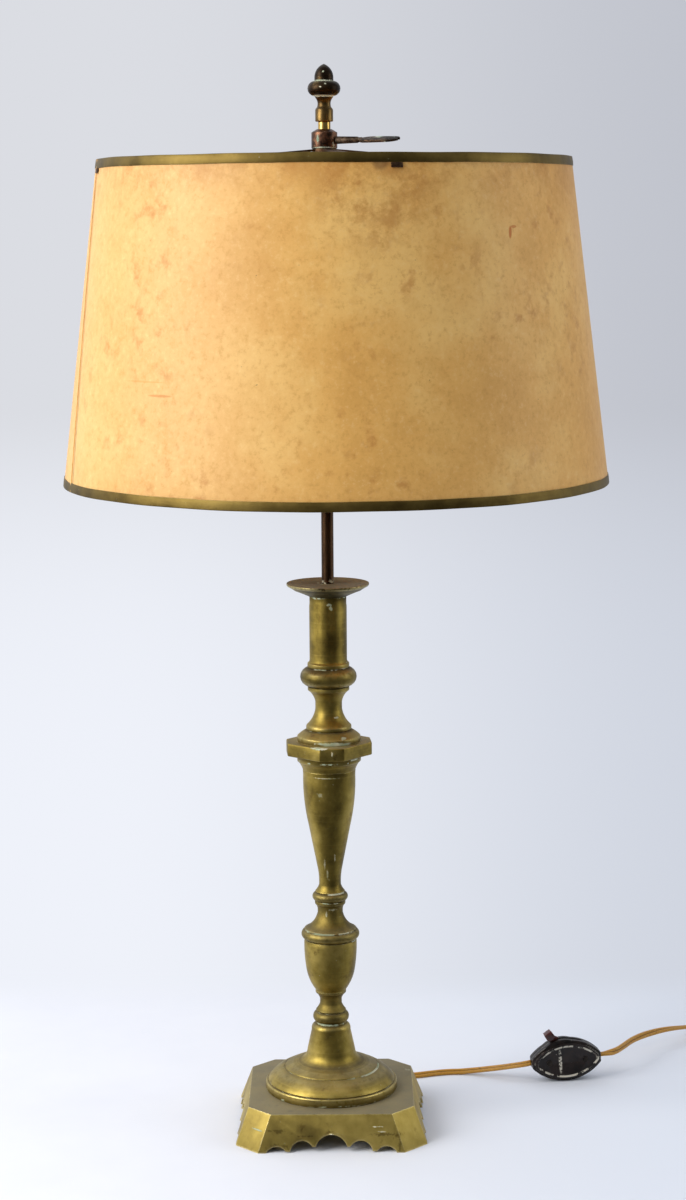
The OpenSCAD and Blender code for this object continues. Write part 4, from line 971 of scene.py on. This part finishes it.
# Painted sheen: where the sheet is seen side-on it is painted paler.
side_on_sheen = put(shader, "LayerWeight", {"Blend": 0.3}).outputs["Facing"]
colour = over(colour, fade(side_on_sheen, 0.3, 1), 0.5, (236, 192, 130))
paint(shader, colour, plus(0.42, times(fine, 0.2)), shine=0.45)
relief(shader, (fine, 0.00006), (fibre, 0.00025))
through = put(shader, "BsdfTranslucent", {"Color": blend(0.5, colour, rgb(214, 150, 84))})
both = put(shader, "MixShader", {0: 0.16, 1: shader.outputs[0], 2: through.outputs[0]})
feed(parchment.node_tree.nodes["Material Output"], {"Surface": both.outputs[0]})
sheet_line = []
for k in range(9):
    z = foot_z + (head_z - foot_z) * k / 8
    sheet_line.append((shade_r(z), z))
sheet_line += [(shade_r(z) - sheet_t, z) for r, z in reversed(sheet_line)]
sheet = turn_up("parchment_sheet", sheet_line, 160, (shade_x, 0))
round_edges(sheet, 0.0001)
# The outer end of the sheet, lapped over the inner one
pick()
bpy.ops.mesh.primitive_grid_add(x_subdivisions=6, y_subdivisions=24, size=1)
lap = bpy.context.object
lap.name = "parchment_lap"
for vertex in lap.data.vertices:
    z = foot_z + (head_z - foot_z) * (vertex.co.y + 0.5)
    turn = math.radians(lap_turn + lap_lean * (0.5 - vertex.co.y) + vertex.co.x * lap_wide)
    lift = lap_lift - 0.25 * (0.5 - vertex.co.x)
    radius = (shade_r(z) + lift) * mm
    vertex.co = (shade_x + radius * math.cos(turn), radius * math.sin(turn), z * mm)
thick = lap.modifiers.new("thick", "SOLIDIFY")
thick.thickness = 0.0005
thick.offset = 0
bpy.ops.object.modifier_apply(modifier="thick")
bpy.ops.object.shade_smooth_by_angle(angle=math.radians(30))
pick(lap, sheet)
bpy.ops.object.join()
dress(sheet, parchment, "shade", "shade_parchment")

# --- Trims ---
# A thin brass channel folded over each rim of the shade, its outside flat and a little wavy.
trim_h = 7
inner_h = 4.1
trim_reach = 3.3
sheet_gap = 0.03
swell = 0.15
swell_up = 3
wave_h = 0.12
trim_brass = old_brass("trim_brass", (127, 107, 57), (110, 92, 47), (87, 71, 35),
                       marks=(8, 8, 260), gloss=0.4, worn=0.0004, stain=0.3)
for rim, edge, way in rims:
    cap = edge + way * trim_t
    foot = cap - way * trim_h
    inner_foot = cap - way * inner_h
    swell_z = foot + way * swell_up
    line = [(shade_r(foot) + sheet_gap, foot), (shade_r(foot) + trim_t, foot),
            (shade_r(swell_z) + trim_t + swell, swell_z),
            (shade_r(cap) + trim_t, cap - way * 0.4), (shade_r(cap) + 0.2, cap),
            (shade_r(cap) - trim_reach, cap), (shade_r(inner_foot) - trim_reach, inner_foot),
            (shade_r(inner_foot) - trim_reach + trim_t, inner_foot),
            (shade_r(edge) - trim_reach + trim_t, edge), (shade_r(edge) + sheet_gap, edge)]
    trim = turn_up(rim + "_trim_piece", line, 160, (shade_x, 0))
    for vertex in trim.data.vertices:
        turn = math.atan2(vertex.co.y, vertex.co.x - shade_x)
        wave = math.sin(turn * 7 + way) + 0.7 * math.sin(turn * 19 + 2 * way)
        vertex.co.z += wave_h * mm * wave
    round_edges(trim, 0.0002)
    dress(trim, trim_brass, "shade", rim + "_trim")

# --- Finial ---
# Two turned pieces screwed on the pipe's end: a bright brass barrel with a
# narrow waist, and on its spigot a dark bronze acorn in its cup.
finial_z = 789.3
cup_z = 808.2
finial_brass = old_brass(
    "finial_brass", (132, 106, 60), (92, 72, 42), (56, 44, 28),
    marks=(60, 60, 1200), gloss=0.24, worn=0.0003,
    crusts=[(808, 0.8, -175, -5, 0.22), (793.4, 3.2, -120, -98, 0)])
acorn_bronze = old_brass(
    "acorn_bronze", (76, 60, 40), (46, 36, 26), (28, 22, 17),
    marks=(60, 60, 1200), gloss=0.3, worn=0.0003,
    crusts=[(819.6, 0.8, -175, -5, 0.17), (808.4, 0.5, -175, -5, 0.3)],
    chips=[((-0.5, -6.5, 826), (0.8, 3, 0.8), 1), ((-2.5, -12, 814.5), (1, 3, 0.8), 1),
           ((1, -12, 817), (1, 3, 0.7), 0.8)])
barrel = turn_up("finial_barrel_piece", [(r, finial_z + h) for r, h in path(
    (4.8, 0), (6.5, 0), (6.8, 0.4), (6.8, 8.7), (6.3, 9.7), (5.4, 10.7), -1.1,
    (6.9, 18.1), (6.9, 18.9), (2.5, 18.9), (2.5, 24.9), (0, 24.9), (0, 10), (4.8, 10))], 64)
round_edges(barrel, 0.00025)
dress(barrel, finial_brass, "finial", "finial_barrel")
acorn = turn_up("finial_acorn_piece", [(r, cup_z + h) for r, h in path(
    (2.55, 0), (7.3, 0), (8.1, 0.2), 4.4, (8.1, 11.2), (7.2, 11.4), (7.2, 14.2), 1.9,
    (0, 24), (0, 6.8), (2.55, 6.8))], 64)
round_edges(acorn, 0.00025)
dress(acorn, acorn_bronze, "finial", "finial_acorn")

# --- Cord switch ---
# In-line switch of brown-black moulded resin: two pointed-oval halves held by
# two sunk screws, with chalky residue along its ridges, and a red-brown lever
# that rocks on a steel pin.
# Its own middle, turn and outline, in metres
switch_middle = (0.1962, 0.092, 0.0175)
switch_turn = (0, math.radians(-4), math.radians(8))
oval_r = 0.039
oval_off = 0.0218
groove_in = 0.0043


def face_chalk(where):
    """Chalk round the groove of the switch's front face, and a smear down it."""
    own = put(where, "Mapping", {"Vector": where, "Location": switch_middle,
                                 "Rotation": switch_turn}, vector_type="TEXTURE").outputs[0]
    parts = split(own)
    high = plus(maths("ABSOLUTE", parts[2]), oval_off)
    flat = put(where, "CombineXYZ", {0: parts[0], 1: high}).outputs[0]
    reach = put(where, "VectorMath", {0: flat}, operation="LENGTH").outputs["Value"]
    off = maths("ABSOLUTE", less(reach, oval_r - groove_in))
    ring = times(fade(off, 0.0011, 0.0004), fade(noise(where, 120, 4, 0.65), 0.47, 0.53))
    smear = times(near(own, (-6, -8, 0.5), (1.7, 6, 12.5)),
                  fade(noise(where, 420, 4), 0.44, 0.52))
    return times(larger(ring, smear), fade(parts[1], -0.003, -0.005))


def old_plastic(name, light, dark, residue, gloss=0.3, metal=0, shine=0.5, more=None):
    """Moulded plastic, clouded and scratched, with residue along its ridges."""
    material, shader, where = new_finish(name)
    cloud = noise(where, 110, 5, 0.6)
    grain = noise(where, 800, 3)
    colour = ramp(cloud, (0.38, dark), (0.64, light))
    patch = fade(noise(where, 85, 4, 0.65), 0.62 - 0.2 * residue, 0.7 - 0.2 * residue)
    crust = times(times(sharp_edges(shader, 0.0012), patch), residue)
    crust = larger(crust, times(fade(noise(where, 560, 2), 0.74, 0.78), residue * 0.7))
    if more:
        crust = larger(crust, more(where))
    paint(shader, blend(crust, colour, rgb(196, 190, 174)),
          larger(plus(gloss, times(cloud, 0.15)), times(crust, 0.8)), metal, shine)
    relief(shader, (grain, 0.00003), (crust, 0.0001), (cloud, 0.00012))
    return material


bakelite = old_plastic("bakelite", (38, 29, 25), (18, 13, 11), 0.6, shine=0.3, more=face_chalk)
lever_resin = old_plastic("lever_resin", (88, 36, 28), (50, 22, 18), 0.3, 0.24)
sunk_screw = dark_iron("sunk_screw", (62, 56, 50), (30, 26, 24))
for node, finish, body, slot, width in (
        ("switch_front", bakelite, "stand", "bakelite", 0.0005),
        ("switch_back", bakelite, "stand", "bakelite", 0.0005),
        ("switch_lever", lever_resin, "switch_lever", "lever_bakelite", 0.0005),
        ("switch_screws", sunk_screw, "stand", "steel", 0.0001),
        ("switch_pin", steel, "stand", "steel", 0.0001)):
    rework(node, node + "_piece", width, finish, body)

# --- Plug and tie ---
# A moulded brown two-blade plug with a ribbed neck, lying beside the coil, and
# a black plastic tie round the coil.
plug_resin = old_plastic("plug_resin", (74, 52, 36), (44, 30, 22), 0.3, 0.34)
tie_plastic = old_plastic("tie_plastic", (40, 40, 42), (20, 20, 22), 0.15, 0.4)
contact_brass = old_brass("contact_brass", (214, 184, 110), (188, 156, 84),
                          (140, 112, 56), gloss=0.3, worn=0.0003, marks=(30, 30, 300))
for node, finish, slot, width in (("plug_body", plug_resin, "plug_plastic", 0.0008),
                                  ("plug_relief", plug_resin, "plug_plastic", 0.0004),
                                  ("plug_blades", contact_brass, "cluster_brass", 0.0002),
                                  ("cord_tie", tie_plastic, "black_insulation", 0.0002)):
    rework(node, node + "_piece", width, finish, "stand")

# --- Sockets and bulbs ---
# Inside the shade a turned brass body on the pipe carries two brass-shelled
# sockets leaning out at 45 degrees, with card liners and porcelain cores, and a
# frosted bulb in each.
socket_brass = old_brass("socket_brass", (206, 176, 100), (178, 148, 78),
                         (126, 100, 48), gloss=0.3, worn=0.0004, marks=(40, 40, 400))
liner_card = old_plastic("liner_card", (84, 72, 60), (52, 44, 38), 0.1, 0.75)
porcelain = old_plastic("porcelain", (228, 222, 208), (204, 196, 178), 0.2, 0.2)
lead_wire = old_plastic("lead_wire", (62, 54, 48), (34, 30, 28), 0.1, 0.4)
bulb_cap = old_plastic("bulb_cap", (176, 174, 168), (140, 138, 132), 0.2, 0.24, 1)
bulb_glass, shader, where = new_finish("bulb_glass")
haze = noise(where, 40, 4)
paint(shader, ramp(haze, (0.3, (226, 224, 216)), (0.7, (246, 244, 238))),
      plus(0.3, times(haze, 0.2)))
feed(shader, {"Transmission Weight": 0.35})
relief(shader, (noise(where, 500, 2), 0.00002))
for finish, body, slot, names in (
        (contact_brass, "stand", "cluster_brass",
         ("screw_shells", "centre_contacts", "switch_contacts")),
        (socket_brass, "stand", "cluster_brass",
         ("cluster_body", "socket_caps", "socket_shells")),
        (liner_card, "stand", "liner_card", ("socket_liners",)),
        (porcelain, "stand", "socket_core", ("socket_cores",)),
        (lead_wire, "stand", "lead_wire", ("socket_leads",)),
        (tie_plastic, "stand", "black_insulation", ("pipe_bushing",)),
        (steel, "stand", "steel", ("base_washer", "lock_nut", "cluster_screw")),
        (bulb_cap, "left_bulb", "bulb_cap", ("left_bulb_cap",)),
        (bulb_cap, "right_bulb", "bulb_cap", ("right_bulb_cap",)),
        (bulb_glass, "left_bulb", "bulb_glass", ("left_bulb_glass", "left_bulb_stem")),
        (bulb_glass, "right_bulb", "bulb_glass", ("right_bulb_glass", "right_bulb_stem"))):
    for node in names:
        rework(node, node + "_piece", 0.00012, finish, body)

# --- Cord skin ---
# Clear amber plastic over copper strands: fine ribs along it, and a dark groove
# between its two cores.
cord_amber, shader, where = new_finish("cord_amber")
along = put(shader, "TexCoord").outputs["UV"]
round_it = split(along)[1]
groove = fade(maths("ABSOLUTE", less(maths("FRACT", plus(times(round_it, 2), 0.5)), 0.5)),
              0.11, 0.02)
ribs = maths("SINE", times(round_it, math.tau * 24))
strand = noise(along, 3, 4, 0.6, stretch=(14, 26, 1))
colour = ramp(strand, (0.3, (150, 100, 22)), (0.5, (196, 142, 40)), (0.72, (222, 174, 70)))
colour = over(colour, fade(ribs, -0.2, -0.9), 0.45, (140, 90, 18))
colour = over(colour, groove, 0.8, (80, 46, 10))
colour = over(colour, fade(noise(where, 300, 3), 0.62, 0.7), 0.5, (112, 74, 30))
paint(shader, colour, plus(0.26, times(strand, 0.25)))
feed(shader, {"Subsurface Weight": 0.25, "Subsurface Radius": (0.001, 0.0006, 0.0002),
              "Subsurface Scale": 1})
relief(shader, (ribs, 0.00004), (strand, 0.0001))
for cord in (first_cord, second_cord):
    cord.data.materials.append(cord_amber)
    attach(cord, "stand")
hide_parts("cord_to_switch")
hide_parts("cord_to_coil", "cord_coil", "cord_to_plug")
for node in ("pipe_cord", "base_cord"):
    piece = own_copy(node, node + "_piece")
    piece.data.uv_layers.new(name="UVMap")
    round_edges(piece, 0.0001)
    dress(piece, cord_amber, "stand", node)

# --- Floor and lights ---
# A pale sheet that runs out into the backdrop, with painted light and shade on it, a big soft
# light at the left a little in front, a weak one at the right, and a room that is dim in front.
pick()
bpy.ops.mesh.primitive_plane_add(size=60)
floor = bpy.context.object
floor.name = "floor"
low_left = rgb(239, 242, 250)
low_right = rgb(208, 213, 224)
high_left = rgb(219, 221, 227)
high_right = rgb(192, 195, 204)
paper_sheet, shader, where = new_finish("paper_sheet")
parts = split(where)
side = maths("DIVIDE", parts[0], larger(less(parts[1], camera_place[1]), 1))
falloff_across = fade(side, -0.1, 0.17)
colour = ramp(noise(where, 14, 4), (0.3, (235, 237, 243)), (0.7, (238, 240, 245)))
# Painted light falloff: the lit floor is painted a little darker towards the right.
colour = blend(falloff_across, colour, rgb(224, 229, 237))
rays = put(shader, "LightPath").outputs
# Painted shade in reflections: glossy rays see the floor in front of the lamp painted dark.
shade_in_reflections = times(rays["Is Glossy Ray"], fade(parts[1], 0.05, -0.25))
paint(shader, blend(shade_in_reflections, colour, rgb(84, 84, 88)), 0.9, shine=0.1)
# Painted light: further back the floor glows for the camera, lighter at the left than at the
# right, and darker far back.
low = blend(falloff_across, low_left, low_right)
high = blend(falloff_across, high_left, high_right)
glow = put(shader, "Emission", {"Color": blend(fade(parts[1], 0.8, 8), low, high)})
share = times(fade(parts[1], 0.27, 0.4), rays["Is Camera Ray"])
both = put(shader, "MixShader", {0: share, 1: shader.outputs[0], 2: glow.outputs[0]})
feed(paper_sheet.node_tree.nodes["Material Output"], {"Surface": both.outputs[0]})
floor.data.materials.append(paper_sheet)

world = bpy.data.worlds.new("room")
bpy.context.scene.world = world
world.use_nodes = True
world.node_tree.nodes.clear()
parts = split(put(world.node_tree, "TexCoord").outputs["Generated"])
level = plus(0.09, times(fade(parts[0], 0.0, -0.9), 0.72))
level = plus(level, times(fade(parts[1], -0.35, 0.8), 0.5))
level = plus(level, times(fade(parts[2], 0.15, 0.95), 0.5))
room = put(level, "Background", {"Color": rgb(232, 236, 245), "Strength": level})
# Painted light falloff: seen straight on, the backdrop is lighter at the left and darker at the
# right.
falloff_across = fade(parts[0], -0.1, 0.17)
backdrop = put(level, "Background", {"Color": blend(falloff_across, high_left, high_right)})
seen = put(level, "LightPath").outputs["Is Camera Ray"]
both = put(level, "MixShader", {0: seen, 1: room.outputs[0], 2: backdrop.outputs[0]})
put(level, "OutputWorld", {"Surface": both.outputs[0]})

lit_point = (0, 0, 0.4)


def soft_light(name, place, size, power, colour):
    pick()
    bpy.ops.object.light_add(type="AREA", location=place)
    light = bpy.context.object
    light.name = name
    light.data.shape = "RECTANGLE"
    light.data.size, light.data.size_y = size
    light.data.energy = power
    light.data.color = colour
    way = Vector(lit_point) - Vector(place)
    light.rotation_euler = way.to_track_quat("-Z", "Y").to_euler()


soft_light("left_light", (-1.44, -0.68, 1.15), (1.1, 1.5), 30, (1, 0.98, 0.96))
soft_light("right_light", (1.7, -0.2, 0.9), (0.7, 1.3), 7, (0.96, 0.98, 1))
bpy.context.scene.view_settings.view_transform = "Standard"
